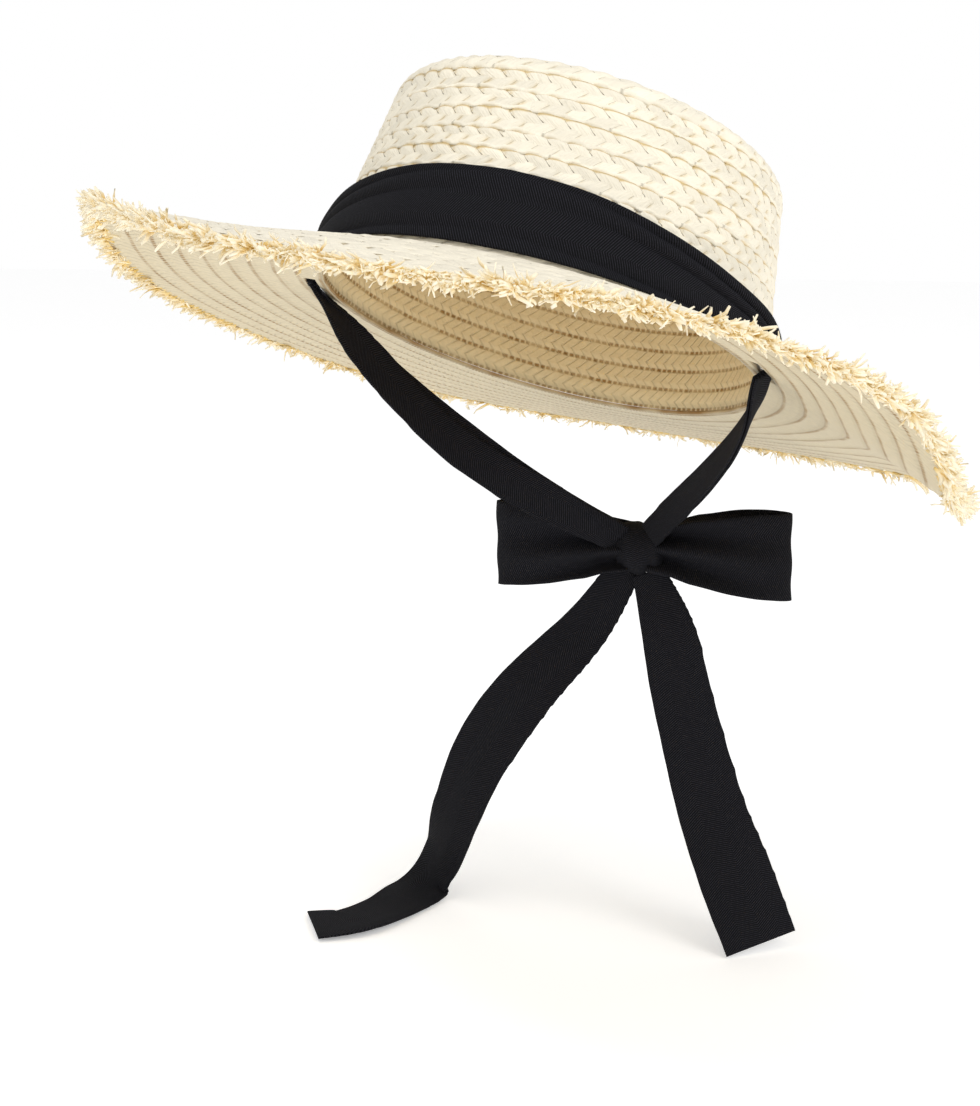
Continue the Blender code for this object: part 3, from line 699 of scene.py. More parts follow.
def add_piece(name, points, blocks, materials, node, creases=None):
    """Mesh object from blocks of faces, each with its corners, fold coordinates and material number. Unused
    points are left out, and the whole is turned right way out by the sign of the volume that it encloses."""
    faces = [np.asarray(block[0]).reshape(-1, np.shape(block[0])[-1]) for block in blocks]
    maps = [np.asarray(block[1]).reshape(-1, faces[i].shape[1], 2) for i, block in enumerate(blocks)]
    volume = 0.0
    for block in faces:
        first = points[block[:, 0]]
        for i in range(1, block.shape[1] - 1):
            volume += np.einsum("ij,ij->", first, np.cross(points[block[:, i]], points[block[:, i + 1]]))
    if volume < 0:
        faces = [block[:, ::-1] for block in faces]
        maps = [block[:, ::-1] for block in maps]
    corners = np.concatenate([block.ravel() for block in faces])
    used, corners = np.unique(corners, return_inverse=True)
    counts = np.concatenate([np.full(len(block), block.shape[1]) for block in faces])
    mesh = bpy.data.meshes.new(name)
    mesh.vertices.add(len(used))
    mesh.vertices.foreach_set("co", points[used].astype(np.float32).ravel())
    mesh.loops.add(len(corners))
    mesh.loops.foreach_set("vertex_index", corners.astype(np.int32))
    mesh.polygons.add(len(counts))
    mesh.polygons.foreach_set("loop_start", np.concatenate([[0], np.cumsum(counts)[:-1]]).astype(np.int32))
    mesh.polygons.foreach_set("material_index", np.concatenate(
        [np.full(len(block), blocks[i][2]) for i, block in enumerate(faces)]).astype(np.int32))
    mesh.polygons.foreach_set("use_smooth", np.ones(len(counts), dtype=bool))
    layer = mesh.uv_layers.new(name="fold")
    layer.data.foreach_set("uv", np.concatenate([block.ravel() for block in maps]).astype(np.float32))
    if creases is not None:
        mesh.attributes.new("crease", "FLOAT", "POINT").data.foreach_set(
            "value", creases[used].astype(np.float32))
    mesh.update(calc_edges=True)
    mesh.validate()
    piece = bpy.data.objects.new(name, mesh)
    bpy.context.scene.collection.objects.link(piece)
    for material in materials:
        mesh.materials.append(material)
    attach(piece, "root")
    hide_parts(node)
    return piece


def two_skins(face, back):
    """Points of a face and a back one after the other, and their numbers in rows and columns."""
    points = np.concatenate([face.reshape(-1, 3), back.reshape(-1, 3)])
    return points, np.arange(len(points)).reshape(-1, face.shape[1])


def add_straw(name, points, blocks, node, creases, back_painted_light):
    """Piece of sewn straw from the points of its face and back, with one painted shade value for all of its
    back:
    0 gives the inside of the crown its warmer painted shade, 1 leaves the underside's own colour.
    """
    crease = np.full(len(points), float(back_painted_light))
    crease[:creases.size] = creases.ravel()
    materials = [material_named(straw_material), material_named(underside_material)]
    return add_piece(name, in_world(points), blocks, materials, node, crease)


def back_corners(runs, pitch, perimeter, columns):
    """Coordinates on the back of the plait: folds along, rounds across."""
    count = round(perimeter / sizes().leaf_length)
    along = np.linspace(0, count, columns + 1)
    left, right = along[None, :-1], along[None, 1:]
    low, high = runs[:-1, None] / pitch, runs[1:, None] / pitch
    shape = (len(runs) - 1, columns)
    return np.stack([np.stack([np.broadcast_to(u, shape) for u in (left, right, right, left)], -1),
                     np.stack([np.broadcast_to(v, shape) for v in (low, low, high, high)], -1)], -1)


def band_of_faces(first, second):
    """Quads that join two closed rows of points of equal count."""
    return np.stack([first, np.roll(first, -1), np.roll(second, -1), second], -1)


def oval_length(half_width, half_length):
    """Ramanujan's near length of an oval."""
    a, b = half_width, half_length
    return math.pi * (3 * (a + b) - math.sqrt((3 * a + b) * (a + 3 * b)))


def in_world(points):
    """Points of the hat's own frame, tipped as it is worn."""
    return points @ hat_turn().T


def build_crown_side():
    """The crown's side: rounds up the leaning wall and one more over its rounded edge, with a bare back."""
    s = sizes()
    columns, back_rows = 700, 12
    half_width, half_length = outer_halves()
    side_run = (s.crown_height - s.crown_edge) / math.cos(s.crown_lean)
    pitch = side_run / s.side_rounds
    # One more round turns over the rounded edge
    rounds = s.side_rounds + 1
    end_run = side_run + s.crown_edge * math.pi / 2
    shrink = np.linspace(0, 1, rounds) * side_run * math.sin(s.crown_lean)
    perimeters = [oval_length(half_width - d, half_length - d) for d in shrink]

    def place(run, turn, proud):
        # The last round is as wide as what is left of the edge
        over = side_run + (run - side_run) * (end_run - side_run) / pitch
        return crown_place(np.where(run < side_run, run, over), turn, proud)

    face, creases, maps = plait_skin(place, rounds, pitch, perimeters, columns, seed=3)
    turn = even_turns(columns)
    back_runs = np.linspace(end_run, 0.0, back_rows)
    back = crown_place(back_runs[:, None], turn[None, :], -s.straw_thickness)
    rows = len(face)
    points, index = two_skins(face, back)
    outer_quads = grid_quads(rows, columns)
    back_quads = grid_quads(back_rows, columns, rows * columns)
    back_maps = back_corners(back_runs, pitch, perimeters[0], columns)
    rims = np.array([band_of_faces(index[rows - 1], index[rows]), band_of_faces(index[-1], index[0])])
    rim_maps = np.zeros((*rims.shape, 2))
    blocks = [(outer_quads, maps, 0), (back_quads, back_maps, 1), (rims, rim_maps, 0)]
    # The back of the crown's side takes the painted warm shade of the crown's inside
    return add_straw("crown_side_plait", points, blocks, "crown", creases, back_painted_light=0)


def build_crown_top():
    """The crown's top: rounds in from its oval edge to the short line in the middle, with a bare back."""
    s = sizes()
    columns, back_rows = 480, 8
    half_width, half_length = top_halves()
    # The outermost round laps over the last one of the side, and lies a little proud of it
    lap, lift = 1.0 * MM, 0.3 * MM
    pitch = (half_width + lap) / s.top_rounds
    perimeters = [oval_length(half_width - k * pitch, half_length - k * pitch) for k in range(s.top_rounds)]

    def place(run, turn, proud):
        return top_place(run - lap, turn, proud + lift)

    face, creases, maps = plait_skin(place, s.top_rounds, pitch, perimeters, columns, seed=11)
    turn = even_turns(columns)
    back_runs = np.linspace(half_width, 0.0, back_rows)
    back = top_place(back_runs[:, None], turn[None, :], -s.straw_thickness)
    rows = len(face)
    points, index = two_skins(face, back)
    # Both halves of the innermost row lie on one line, and share their points
    mirror = np.minimum(np.arange(columns), (columns - np.arange(columns)) % columns)
    index[rows - 1] = index[rows - 1][mirror]
    index[rows] = index[rows][mirror]
    face_quads = index.ravel()[grid_quads(rows, columns)]
    back_quads = index.ravel()[grid_quads(back_rows, columns, rows * columns)]
    back_maps = back_corners(back_runs, pitch, perimeters[0], columns)
    rim = band_of_faces(index[-1], index[0])
    blocks = [(face_quads, maps, 0), (back_quads, back_maps, 1), (rim, np.zeros((*rim.shape, 2)), 0)]
    # The back of the crown's top takes the painted warm shade of the crown's inside
    return add_straw("crown_top_plait", points, blocks, "crown", creases, back_painted_light=0)


def build_brim():
    """The brim: rounds in from its edge to the opening, a back with small steps, and a slit on each side."""
    s = sizes()
    columns = 700
    half_width, half_length = outer_halves()
    pitch = s.brim_width / s.brim_rounds
    outs = s.brim_width - np.arange(s.brim_rounds) * pitch
    perimeters = [oval_length(half_width + out, half_length + out) for out in outs]

    def place(run, turn, proud):
        return brim_place(s.brim_width - run, turn, proud)

    # The brim's folds lie flatter, with lighter painted shade at their edges, tips and creases
    face, creases, maps = plait_skin(place, s.brim_rounds, pitch, perimeters, columns, seed=23,
                                     gaps=0.45, loft=0.65)
    turn = even_turns(columns)
    # The row that lies under the crown's wall closes the brim to the opening, and takes some painted shade
    seat_drop, seat_painted_light = 0.5 * MM, 0.4
    seat = brim_place(np.full((1, 1), -s.straw_thickness), turn[None, :], -seat_drop)
    face = np.concatenate([face, seat])
    creases = np.concatenate([creases, np.full((1, columns), seat_painted_light)])
    maps = np.concatenate([maps, np.zeros((1, columns, 4, 2))])
    rows = len(face)
    # The back has every third row of the face, and every row beside the slits
    face_runs = [[k * pitch] * (k > 0) + [(k + up) * pitch for up in ROUND_ROWS]
                 for k in range(s.brim_rounds)]
    face_runs = np.concatenate([*face_runs, [s.brim_width, s.brim_width + s.straw_thickness]])
    slit_from = s.brim_width - (s.slit_offset + s.slit_width / 2)
    slit_to = s.brim_width - (s.slit_offset - s.slit_width / 2)
    first, last = np.searchsorted(face_runs, [slit_from, slit_to])
    keep = np.array([r for r in range(rows) if r % 3 == 0 or r in (rows - 1, rows - 2) or first <= r <= last])
    back_runs = face_runs[keep]
    step = 0.35 * MM
    stepped = -s.straw_thickness + step * (back_runs / pitch - np.floor(back_runs / pitch))
    back = brim_place(s.brim_width - back_runs[:, None], turn[None, :], stepped[:, None])
    points, index = two_skins(face, back)
    face_quads = grid_quads(rows, columns)
    back_quads = grid_quads(len(keep), columns, rows * columns)
    back_maps = back_corners(back_runs, pitch, perimeters[0], columns)
    # Each slit is left out of both skins and walled between them
    hole = np.zeros((rows - 1, columns), dtype=bool)
    for middle in (s.slit_left, -s.slit_right):
        half = s.slit_length / 2 / math.hypot(half_width * math.cos(middle), half_length * math.sin(middle))
        hole[first:last] |= (np.abs((turn + FULL_TURN / columns / 2 - middle + math.pi) % FULL_TURN - math.pi)
                             < half)
    back_hole = np.array([hole[keep[r]] for r in range(len(keep) - 1)])
    walls = [band_of_faces(index[rows - 1], index[-1]), band_of_faces(index[0], index[rows])]
    back_of = {row: rows + order for order, row in enumerate(keep)}
    for r, c in zip(*np.nonzero(hole)):
        right = (c + 1) % columns
        if r == first:
            walls.append([[index[r, c], index[r, right], index[back_of[r], right], index[back_of[r], c]]])
        if r == last - 1:
            walls.append([[index[r + 1, right], index[r + 1, c], index[back_of[r + 1], c],
                           index[back_of[r + 1], right]]])
        if not hole[r, c - 1]:
            walls.append([[index[r + 1, c], index[r, c], index[back_of[r], c], index[back_of[r + 1], c]]])
        if not hole[r, right]:
            walls.append([[index[r, right], index[r + 1, right], index[back_of[r + 1], right],
                           index[back_of[r], right]]])
    walls = np.concatenate([np.asarray(w).reshape(-1, 4) for w in walls])
    blocks = [(face_quads[~hole], maps[~hole], 0),
              (back_quads[~back_hole][:, ::-1], back_maps[~back_hole][:, ::-1], 1),
              (walls, np.zeros((*walls.shape, 2)), 1)]
    return add_straw("brim_plait", points, blocks, "brim", creases, back_painted_light=1)


def build_fringe_half(name, turn_from, turn_to, seed):
    """Loose ends over half of the edge. Each is a strip of five stations: its heading starts near the brim's
    own run, turned aside and lifted by its own chance, and bends by a steady curl, so that its line is the
    running sum of its steps. Lift and length share a slow random beat, which gathers the ends into tufts."""
    s = sizes()
    rng = np.random.default_rng(seed)
    count, stations, thickness = s.fringe_ends, 5, 0.26 * MM
    turn = turn_from + (turn_to - turn_from) * (np.arange(count) + rng.random(count)) / count
    beat = sum(rng.random() * np.sin(turn * k + rng.random() * FULL_TURN) for k in (5, 9, 17, 29, 47, 83))
    beat = beat / np.abs(beat).max()
    edge = brim_place(np.full(count, s.brim_width), turn, np.zeros(count))
    near = brim_place(np.full(count, s.brim_width - MM), turn, np.zeros(count))
    aside_point = brim_place(np.full(count, s.brim_width), turn + 0.01, np.zeros(count))
    out = unit(edge - near)
    aside = unit(aside_point - edge)
    up = unit(np.cross(out, aside))
    up = up * np.sign(up[:, 2:])
    # Each end leaves the brim up to 3.3 mm inside its edge, at a height within its wall
    start = (edge - out * (rng.random((count, 1)) * 3.0 + 0.3) * MM
             + up * (rng.random((count, 1)) * 2.2 - 1.9) * MM)
    length = s.fringe_length * (0.58 + 0.16 * beat + 0.30 * rng.random(count)).clip(0.3, 1.05)
    yaw = rng.normal(0, 0.50, count) + 0.45 * np.sin(turn * 23 + 1.0)
    lift = rng.normal(0.0, 0.16, count) + 0.35 * np.maximum(beat, 0) * rng.random(count)
    turn_yaw = rng.normal(0, 0.9, count)
    curl = rng.normal(0.05, 0.42, count) + 0.35 * beat * rng.random(count)
    sway = rng.random(count) * FULL_TURN
    width = (0.8 + 1.2 * rng.random(count)**2) * MM
    share = np.linspace(0, 1, stations)
    headings = []
    for q in share:
        a = yaw + turn_yaw * q + 0.55 * np.sin(FULL_TURN * q + sway)
        b = lift + curl * q
        headings.append(out * (np.cos(a) * np.cos(b))[:, None] + aside * (np.sin(a) * np.cos(b))[:, None]
                        + up * np.sin(b)[:, None])
    headings = np.array(headings)
    steps = (headings[1:] + headings[:-1]) / 2 * (length / (stations - 1))[None, :, None]
    line = np.concatenate([start[None], start[None] + np.cumsum(steps, axis=0)])
    line[1:] += rng.normal(0, 0.2 * MM, line[1:].shape)
    twist = rng.random(count) * FULL_TURN / 2 + share[:, None] * rng.normal(0, 0.9, count)
    flat = unit(np.cross(headings, up[None] + 0.01))
    square = np.cross(headings, flat)
    across = flat * np.cos(twist)[..., None] + square * np.sin(twist)[..., None]
    face = np.cross(headings, across)
    taper = np.array([0.8, 1.0, 1.0, 0.9, 0.6])[:, None, None]
    half = across * (width / 2)[None, :, None] * taper
    thick = face * thickness / 2
    section = np.stack([line - half - thick, line + half - thick,
                        line + half + thick, line - half + thick], 2)
    points = section.transpose(1, 0, 2, 3).reshape(-1, 3)
    base = np.arange(count)[:, None, None] * stations * 4
    ring = np.arange(4)
    r = np.arange(stations - 1)[:, None] * 4
    sides = np.stack([r + ring, r + (ring + 1) % 4, r + 4 + (ring + 1) % 4, r + 4 + ring], -1).reshape(-1, 4)
    quads = (base + sides[None]).reshape(-1, 4)
    caps = (base + np.array([[3, 2, 1, 0], 4 * (stations - 1) + np.arange(4)])[None]).reshape(-1, 4)
    number = rng.random(count) * 40.0

    def strip_maps(shares):
        """Each strip's own number, and the share along it, at its faces' corners."""
        shape = (count, *shares.shape)
        return np.stack([np.broadcast_to(number[:, None, None], shape), np.broadcast_to(shares, shape)], -1)

    side_maps = strip_maps(np.stack([share[:-1]] * 2 + [share[1:]] * 2, -1).repeat(4, axis=0))
    cap_maps = strip_maps(np.array([[0.0] * 4, [1.0] * 4]))
    return add_piece(name, in_world(points), [(quads, side_maps, 0), (caps, cap_maps, 0)],
                     [material_named(fringe_material)], "fringe")


def thick_ribbon(name, centre, node):
    """Closed ribbon from a grid of points along and across it, half its thickness to either side. Its fold
    coordinates are millimetres along and across, measured on the cloth. Returns the piece and the length of
    its middle line."""
    thickness = sizes().ribbon_thickness
    rows, columns = centre.shape[:2]
    along = np.gradient(centre, axis=0)
    across = np.gradient(centre, axis=1)
    normal = unit(np.cross(along, across))
    points, index = two_skins(centre + normal * thickness / 2, centre - normal * thickness / 2)
    index = index[:rows]
    quads = np.stack([index[:-1, :-1], index[1:, :-1], index[1:, 1:], index[:-1, 1:]], -1)
    step_along = np.linalg.norm(np.diff(centre, axis=0), axis=-1).mean(1)
    step_across = np.linalg.norm(np.diff(centre, axis=1), axis=-1)
    x = np.broadcast_to(np.concatenate([[0], np.cumsum(step_along)])[:, None], (rows, columns)) / MM
    y = np.concatenate([np.zeros((rows, 1)), np.cumsum(step_across, axis=1)], axis=1) / MM
    plan = np.stack([x, y], -1)
    corners = np.stack([plan[:-1, :-1], plan[1:, :-1], plan[1:, 1:], plan[:-1, 1:]], 2)
    border = np.concatenate([index[0, :-1], index[:-1, -1], index[-1, :0:-1], index[:0:-1, 0]])
    rim = band_of_faces(border, border + rows * columns)
    flat_plan = plan.reshape(-1, 2)
    rim_maps = flat_plan[rim % (rows * columns)]
    piece = add_piece(name, points, [(quads.reshape(-1, 4), corners.reshape(-1, 4, 2), 0),
                                     ((quads + rows * columns)[..., ::-1].reshape(-1, 4),
                                      corners[:, :, ::-1].reshape(-1, 4, 2), 0),
                                     (rim, rim_maps, 0)],
                      [material_named(twill_material)], node)
    length = float(np.linalg.norm(np.diff(centre[:, columns // 2], axis=0), axis=-1).sum())
    return piece, length


def gathers(width_share, across, folds, phase):
    """Shares of a strip's width to either side and off its face when it is drawn in: lengthwise folds in a
    sine, deep enough that the cloth across them keeps its full width."""
    drawn = np.clip(width_share, 0.2, 0.998)
    depth = np.sqrt(2 * (1 / drawn**2 - 1)) * drawn / (FULL_TURN * folds)
    return across * drawn, depth * np.sin(FULL_TURN * folds * (across + 0.5) + phase)


def strip_points(line, across, side, off):
    """Points of a strip along a centre line, from its cross-section at each station: side along the across
    direction squared to the run, and off along the face. A slow ripple of a third of a millimetre keeps the
    cloth from lying dead flat."""
    run = unit(np.gradient(line, axis=0))
    across = unit(across - run * np.einsum("ij,ij->i", across, run)[:, None])
    face = np.cross(run, across)
    travel = np.concatenate([[0], np.cumsum(np.linalg.norm(np.diff(line, axis=0), axis=-1))])[:, None]
    ripple = 0.3 * MM * np.sin(travel / (19 * MM) + side / (14 * MM)) + 0.06 * MM * np.sin(travel / (6 * MM))
    edge = 1.0 + 0.003 * np.sin(travel / (2.3 * MM)) + 0.004 * np.sin(travel / (7.1 * MM) + 1.0)
    return (line[:, None] + across[:, None] * (side * edge)[..., None]
            + face[:, None] * (off + ripple)[..., None])


def gathered_strip(line, across, width_share, folds, phase):
    """Strip that is drawn in by lengthwise waves to a share of its width at each station."""
    width = sizes().ribbon_width
    cloth = np.linspace(-0.5, 0.5, GATHERED_COLUMNS)[None, :]
    side, off = gathers(width_share[:, None], cloth, folds, phase[:, None])
    return strip_points(line, across, side * width, off * width)


def folded_strip(line, across, width_share, behind):
    """Strip folded over lengthwise, in layers as wide as a share of it at each station. Across the cloth the
    side swings back and forth at its own length, rounded over a millimetre at each fold, and each layer lies
    behind the one before it."""
    cloth = sizes().ribbon_width
    wide = (width_share * cloth)[:, None]
    travelled = np.linspace(0, cloth, FOLDED_COLUMNS)[None, :]
    rounded = [np.abs((travelled + shift * MM - wide) % (2 * wide) - wide)
               for shift in (-1.2, -0.6, 0.0, 0.6, 1.2)]
    side = np.mean(rounded, axis=0) - wide / 2
    layer_step = 1.15 * MM
    layers = np.maximum(travelled / wide - 0.85, 0.0)
    return strip_points(line, across, side, behind * layer_step * (layers - 0.5 * (cloth / wide - 1)))


def build_band():
    """The ribbon round the front: a strip between a low and a top curve on the wall, which both turn out and
    down into the slits at their ends."""
    s = sizes()
    stations, columns = 240, 41
    u = np.linspace(0, 1, stations)
    t = np.abs(2 * u - 1)
    slit = np.where(u > 0.5, s.slit_left, -s.slit_right)
    lean = math.tan(s.crown_lean)
    off_wall = 0.9 * MM

    def edge(which):
        turn = slit * smooth_through(BAND[which + "_turn"], t)
        height = s.ribbon_width * smooth_through(BAND[which + "_rise"], t)
        wall = off_wall - height * lean
        place = oval(turn, wall + (s.slit_offset - wall) * smooth_through(BAND[which + "_out"], t))
        return np.concatenate([place, height[:, None]], -1)

    low, top = edge("low"), edge("top")
    v = np.linspace(0, 1, columns)[None, :, None]
    middle = (low + top) / 2
    width = np.linalg.norm(top - low, axis=-1) / s.ribbon_width
    face = unit(np.cross(np.gradient(middle, axis=0), top - low))
    outward = middle * [1.0, 1.0, 0.0]
    face = face * np.sign(np.einsum("ij,ij->i", face, outward))[:, None]
    # The drawn-in width goes into one and a half lengthwise folds, set unevenly across the band
    uneven = v[..., 0] + 0.09 * np.sin(FULL_TURN * v[..., 0] + 3.0 * t[:, None])
    _, off = gathers(width[:, None] / width.max(), uneven - 0.5, 1.5, (2.0 * t + 0.6)[:, None])
    # The folds stand out from the wall and never go into it, and stay lower than the cap
    cap = 4.0 * MM
    off = np.abs(off) * s.ribbon_width * 0.8
    off = off / (1 + off / cap)
    points = low[:, None] * (1 - v) + top[:, None] * v + face[:, None] * off[..., None]
    piece, length = thick_ribbon("ribbon_band_twill", in_world(points), "ribbon_band")
    return piece


def knot_box():
    """Middle of the frame's knot and half of its size along each axis."""
    low, high = (np.array(corner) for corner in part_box("bow_knot"))
    return (low + high) / 2, (high - low) / 2


def knot_reach(way):
    """How far the rounded knot reaches from its middle along unit directions."""
    _, halves = knot_box()
    rounding = 5 * MM
    return rounding + (np.abs(way) * (halves - rounding)).sum(-1)


def build_leg(side):
    """Ribbon from a slit to the knot: a cubic curve with a handle at each end. It starts along the slit and
    soon turns to face outwards."""
    s = sizes()
    name = "left" if side > 0 else "right"
    slit = side * (s.slit_left if side > 0 else s.slit_right)
    exit_place = np.append(oval(slit, s.slit_offset), -LEG_START * MM)
    start = hat_turn() @ exit_place
    pull = LEG_PULLS[name]
    handle = np.array([side * pull["out"], -pull["forward"], pull["up"]])
    knot, _ = knot_box()
    # The pull ends inside the knot
    inside = 4 * MM
    end = knot + unit(handle) * (knot_reach(unit(handle)) - inside)
    length = np.linalg.norm(end - start)
    leave = start + length * np.array([-side * pull["in"], pull["back"], -pull["down"]])
    arrive = end + length * handle
    u = np.linspace(0, 1, 90)
    b = u[:, None]
    line = (1 - b)**3 * start + 3 * b * (1 - b)**2 * leave + 3 * b**2 * (1 - b) * arrive + b**3 * end
    run = unit(np.gradient(line, axis=0))
    flat = unit(np.cross(line * [1.0, 1.0, 0.0], run))
    along_wall = oval(slit + 0.05, 0.0) - oval(slit - 0.05, 0.0)
    first = unit(hat_turn() @ np.append(along_wall, 0.0))
    first = first * np.sign(first @ flat[0])
    turned = np.clip(u / LEG_TURNED, 0, 1)[:, None]
    across = first + (flat - first) * turned**2 * (3 - 2 * turned)
    width = smooth_through(LEG_WIDTH[name], u)
    points = folded_strip(line, unit(across), width, behind=side)
    piece, length = thick_ribbon(f"ribbon_leg_{name}_twill", points, f"ribbon_leg_{name}")
    return piece


def build_loop(side):
    """A loop of the bow: one strip out from the knot along its front and back along its rear, on edge."""
    s = sizes()
    name = "left" if side > 0 else "right"
    knot, _ = knot_box()
    u = np.linspace(0, 1, 100)
    root = 10.3 * MM
    out = np.maximum(root + s.loop_length * smooth_through(LOOP["out"], u), root)
    # Both ends of a loop run on into the knot
    inside = np.maximum(0, 1 - np.minimum(u, 1 - u) / 0.05) * 6 * MM
    line = knot + np.stack([side * (out - inside), s.ribbon_width * smooth_through(LOOP["back"], u),
                            s.ribbon_width * smooth_through(LOOP["sag"], u)], -1)
    upright = np.broadcast_to([0.0, 0.0, 1.0], line.shape)
    # The widest part of a loop is flat, and only its ends are drawn in
    width = smooth_through(LOOP["width"], u) / max(LOOP["width"])
    width = width - 0.12 * np.maximum(0, 1 - np.minimum(u, 1 - u) / 0.12)
    points = gathered_strip(line, upright, width, folds=2.0, phase=1.5 * np.sin(math.pi * u) + side)
    piece, length = thick_ribbon(f"bow_loop_{name}_twill", points, f"bow_loop_{name}")
    return piece


def build_tail(side):
    """A free end: a strip that hangs from the knot, folded over at its top and opening out further down."""
    name = "left" if side > 0 else "right"
    rows = TAILS[name]
    knot, halves = knot_box()
    # The end starts inside the knot, and its row of places under it
    inside, below = 3 * MM, 0.3 * MM
    root = knot - [0.0, 0.0, halves[2] + below]
    fall = root[2] + FLOOR_DEPTH
    first = root + fall * np.array([rows["side"][0], rows["back"][0], -rows["down"][0]])
    way = unit(first - knot)
    start = (knot + way * (knot_reach(way) - inside) - root) / fall
    u = np.linspace(0, 1, 30 * len(rows["side"]))
    line = root + fall * np.stack([smooth_through((start[0], *rows["side"]), u),
                                   smooth_through((start[1], *rows["back"]), u),
                                   -smooth_through((-start[2], *rows["down"]), u)], -1)
    face = np.radians(smooth_through((0, *rows["face"]), u))
    across = np.stack([np.cos(face), np.sin(face), np.zeros_like(face)], -1)
    width = smooth_through((TAIL_GATHER, *rows["width"]), u)
    points = folded_strip(line, across, width, behind=-1)
    piece, length = thick_ribbon(f"ribbon_tail_{name}_twill", points, f"ribbon_tail_{name}")
    return piece


def build_knot():
    """The knot's turn of ribbon: a barrel along the bow, with creases that run round it and draw together at
    its ends. One angle runs along the bow from end to end, the other about it."""
    middle, halves = knot_box()
    rows, columns = 40, 64
    angle = np.linspace(0.03, math.pi - 0.03, rows)[:, None]
    about = even_turns(columns)[None, :]
    body = np.sin(angle)**0.45
    crease = (0.92 + 0.06 * np.cos(5 * angle + 0.8 * np.sin(about))
              + 0.03 * np.sin(9 * angle + 2 * np.cos(about)))
    points = middle + np.stack([np.broadcast_to(-halves[0] * np.cos(angle), (rows, columns)),
                                halves[1] * body * crease * np.cos(about),
                                halves[2] * body * crease * np.sin(about)], -1)
    ends = middle + np.array([[-halves[0], 0, 0], [halves[0], 0, 0]]) * 0.999
    points = np.concatenate([points.reshape(-1, 3), ends])
    index = np.arange(rows * columns).reshape(rows, columns)
    quads = grid_quads(rows, columns)
    start_fan = np.stack([np.full(columns, rows * columns), np.roll(index[0], -1), index[0]], -1)
    end_fan = np.stack([np.full(columns, rows * columns + 1), index[-1], np.roll(index[-1], -1)], -1)
    x = np.linspace(0, FULL_TURN * halves[2] / MM, columns + 1)
    y = np.linspace(0, 2 * halves[0] / MM, rows)
    u = np.broadcast_to(np.stack([x[:-1], x[1:], x[1:], x[:-1]], -1)[None], (rows - 1, columns, 4))
    v = np.broadcast_to(np.stack([y[:-1], y[:-1], y[1:], y[1:]], -1)[:, None], (rows - 1, columns, 4))
    fans = np.concatenate([start_fan, end_fan])
    return add_piece("bow_knot_twill", points, [(quads, np.stack([u, v], -1), 0),
                                                (fans, np.zeros((*fans.shape, 2)), 0)],
                     [material_named(twill_material)], "bow_knot")


def build_stage():
    """Seamless white floor and sky, a wide soft light high at the front, and a fill from the side."""
    clearance, reach = 0.4 * MM, 6.0
    floor = -FLOOR_DEPTH - clearance
    mesh = bpy.data.meshes.new("studio_floor")
    mesh.from_pydata([(-reach, -reach, floor), (reach, -reach, floor), (reach, reach, floor),
                      (-reach, reach, floor)], [], [(0, 1, 2, 3)])
    mesh.materials.append(material_named(stage_material))
    ground = bpy.data.objects.new("studio_floor", mesh)
    bpy.context.scene.collection.objects.link(ground)
    world = bpy.data.worlds.new("studio")
    bpy.context.scene.world = world
    world.use_nodes = True
    tree = world.node_tree
    tree.nodes.clear()
    # The ground beyond the floor is seen pure white, and lights the hat less than that
    seen = add_node(tree, "LightPath").outputs["Is Camera Ray"]
    strength = add_node(tree, "Math", {0: seen, 1: 1.0 - WORLD_LIGHT, 2: WORLD_LIGHT},
                        operation="MULTIPLY_ADD")
    sky = add_node(tree, "Background", {"Color": linear("#FFFFFF"), "Strength": strength})
    add_node(tree, "OutputWorld", {"Surface": sky})
    for name, place, size, power in LIGHTS:
        light = bpy.data.lights.new(name, "AREA")
        light.size = size
        light.energy = power
        lamp = bpy.data.objects.new(name, light)
        bpy.context.scene.collection.objects.link(lamp)
        lamp.location = place
        lamp.rotation_euler = (-Vector(place)).to_track_quat("-Z", "Y").to_euler()


def build_camera():
    """The photo's view, worked out with the hat's shape from the outlines seen in it."""
    camera = bpy.data.cameras.new("camera")
    camera.sensor_width = 36.0
    camera.lens = camera.sensor_width * FOCAL_PIXELS / IMAGE_HEIGHT
    eye = bpy.data.objects.new("camera", camera)
    bpy.context.scene.collection.objects.link(eye)
    eye.location = [value * MM for value in CAMERA_PLACE]
    turned, lowered = math.radians(CAMERA_TURN), math.radians(CAMERA_DROP)
    forward = Vector((-math.sin(turned) * math.cos(lowered), math.cos(turned) * math.cos(lowered),
                      -math.sin(lowered)))
    eye.rotation_euler = forward.to_track_quat("-Z", "Y").to_euler()
    bpy.context.scene.camera = eye
    # Plain display colours, so that the white ground stays white
    bpy.context.scene.view_settings.view_transform = "Standard"


class PAPERHAT_OT_crown(bpy.types.Operator):
    """Add the crown: rounds of plait up its side, over its edge and in to the middle of its top"""

    bl_idname = "paper_hat.crown"
    bl_label = "Crown"

    def execute(self, context):
        build_crown_side()
        build_crown_top()
        return {"FINISHED"}


class PAPERHAT_OT_brim(bpy.types.Operator):
    """Add the brim: rounds of plait on the face, stitched seams on the back, and a slit on each side"""

    bl_idname = "paper_hat.brim"
    bl_label = "Brim"

    def execute(self, context):
        build_brim()
        return {"FINISHED"}


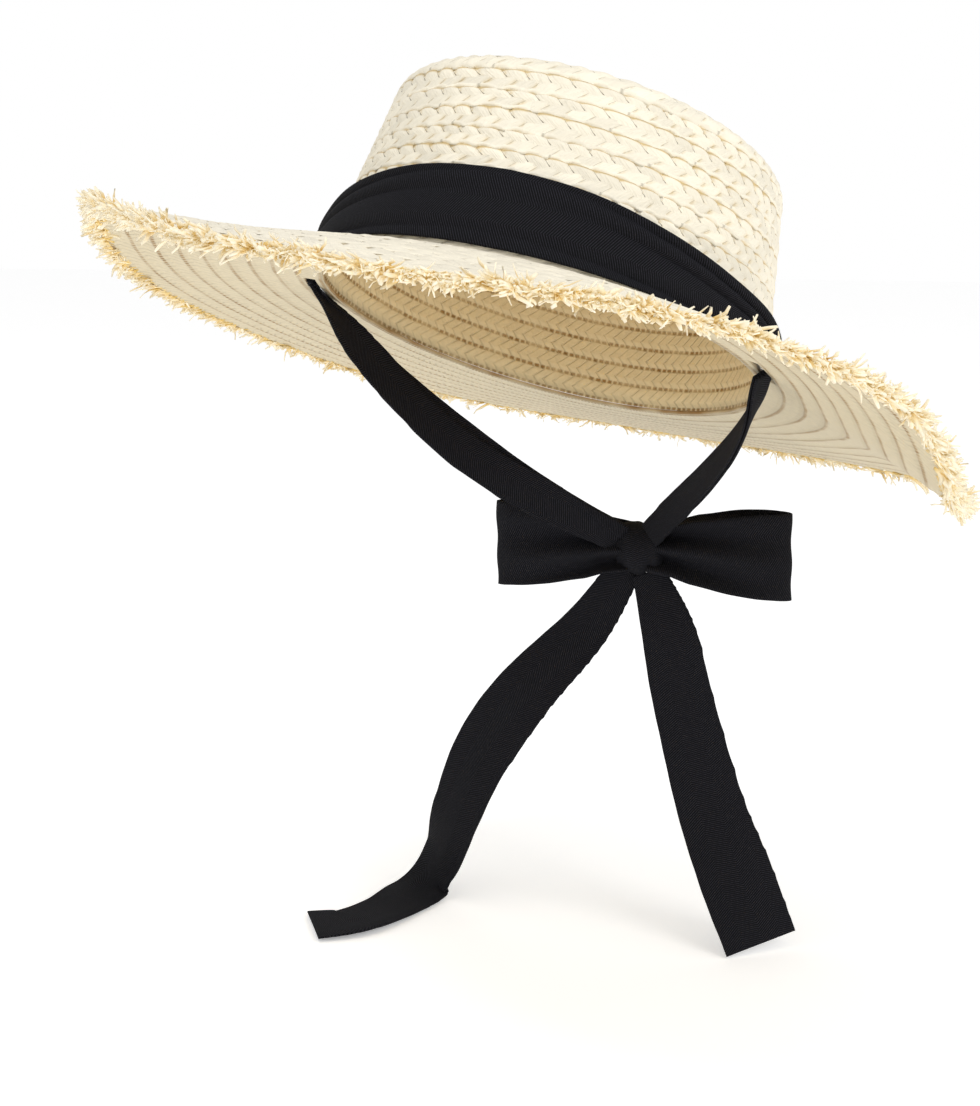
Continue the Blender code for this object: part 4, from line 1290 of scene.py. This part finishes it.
class PAPERHAT_OT_fringe(bpy.types.Operator):
    """Add the frayed ends round the brim's edge"""

    bl_idname = "paper_hat.fringe"
    bl_label = "Fringe"

    def execute(self, context):
        build_fringe_half("fringe_left_ends", 0.0, math.pi, seed=5)
        build_fringe_half("fringe_right_ends", math.pi, FULL_TURN, seed=6)
        return {"FINISHED"}


class PAPERHAT_OT_ribbon(bpy.types.Operator):
    """Add the ribbon: the band, the two pulls behind the neck, and the tied bow"""

    bl_idname = "paper_hat.ribbon"
    bl_label = "Ribbon"

    def execute(self, context):
        build_band()
        build_knot()
        for side in (1, -1):
            build_leg(side)
            build_loop(side)
            build_tail(side)
        return {"FINISHED"}


class PAPERHAT_OT_stage(bpy.types.Operator):
    """Add the white floor, the lights and the camera"""

    bl_idname = "paper_hat.stage"
    bl_label = "Stage"

    def execute(self, context):
        build_stage()
        build_camera()
        return {"FINISHED"}


OPERATORS = (PAPERHAT_OT_crown, PAPERHAT_OT_brim, PAPERHAT_OT_fringe, PAPERHAT_OT_ribbon, PAPERHAT_OT_stage)


class PAPERHAT_PT_panel(bpy.types.Panel):
    """Buttons for the hat's pieces, with its sizes and colours"""

    bl_idname = "PAPERHAT_PT_panel"
    bl_label = "Paper hat"
    bl_space_type = "VIEW_3D"
    bl_region_type = "UI"
    bl_category = "Paper hat"

    def draw(self, context):
        for operator in OPERATORS:
            self.layout.operator(operator.bl_idname)
        for group in (context.scene.paper_hat_sizes, context.scene.paper_hat_colours):
            for name in group.__annotations__:
                self.layout.prop(group, name)


CLASSES = (PaperHatSizes, PaperHatColours, *OPERATORS, PAPERHAT_PT_panel)


def register():
    for item in CLASSES:
        bpy.utils.register_class(item)
    bpy.types.Scene.paper_hat_sizes = PointerProperty(type=PaperHatSizes)
    bpy.types.Scene.paper_hat_colours = PointerProperty(type=PaperHatColours)


def unregister():
    del bpy.types.Scene.paper_hat_sizes
    del bpy.types.Scene.paper_hat_colours
    for item in reversed(CLASSES):
        bpy.utils.unregister_class(item)


def main():
    register()
    bpy.ops.paper_hat.crown()
    bpy.ops.paper_hat.brim()
    bpy.ops.paper_hat.fringe()
    bpy.ops.paper_hat.ribbon()
    bpy.ops.paper_hat.stage()


if __name__ == "__main__":
    main()
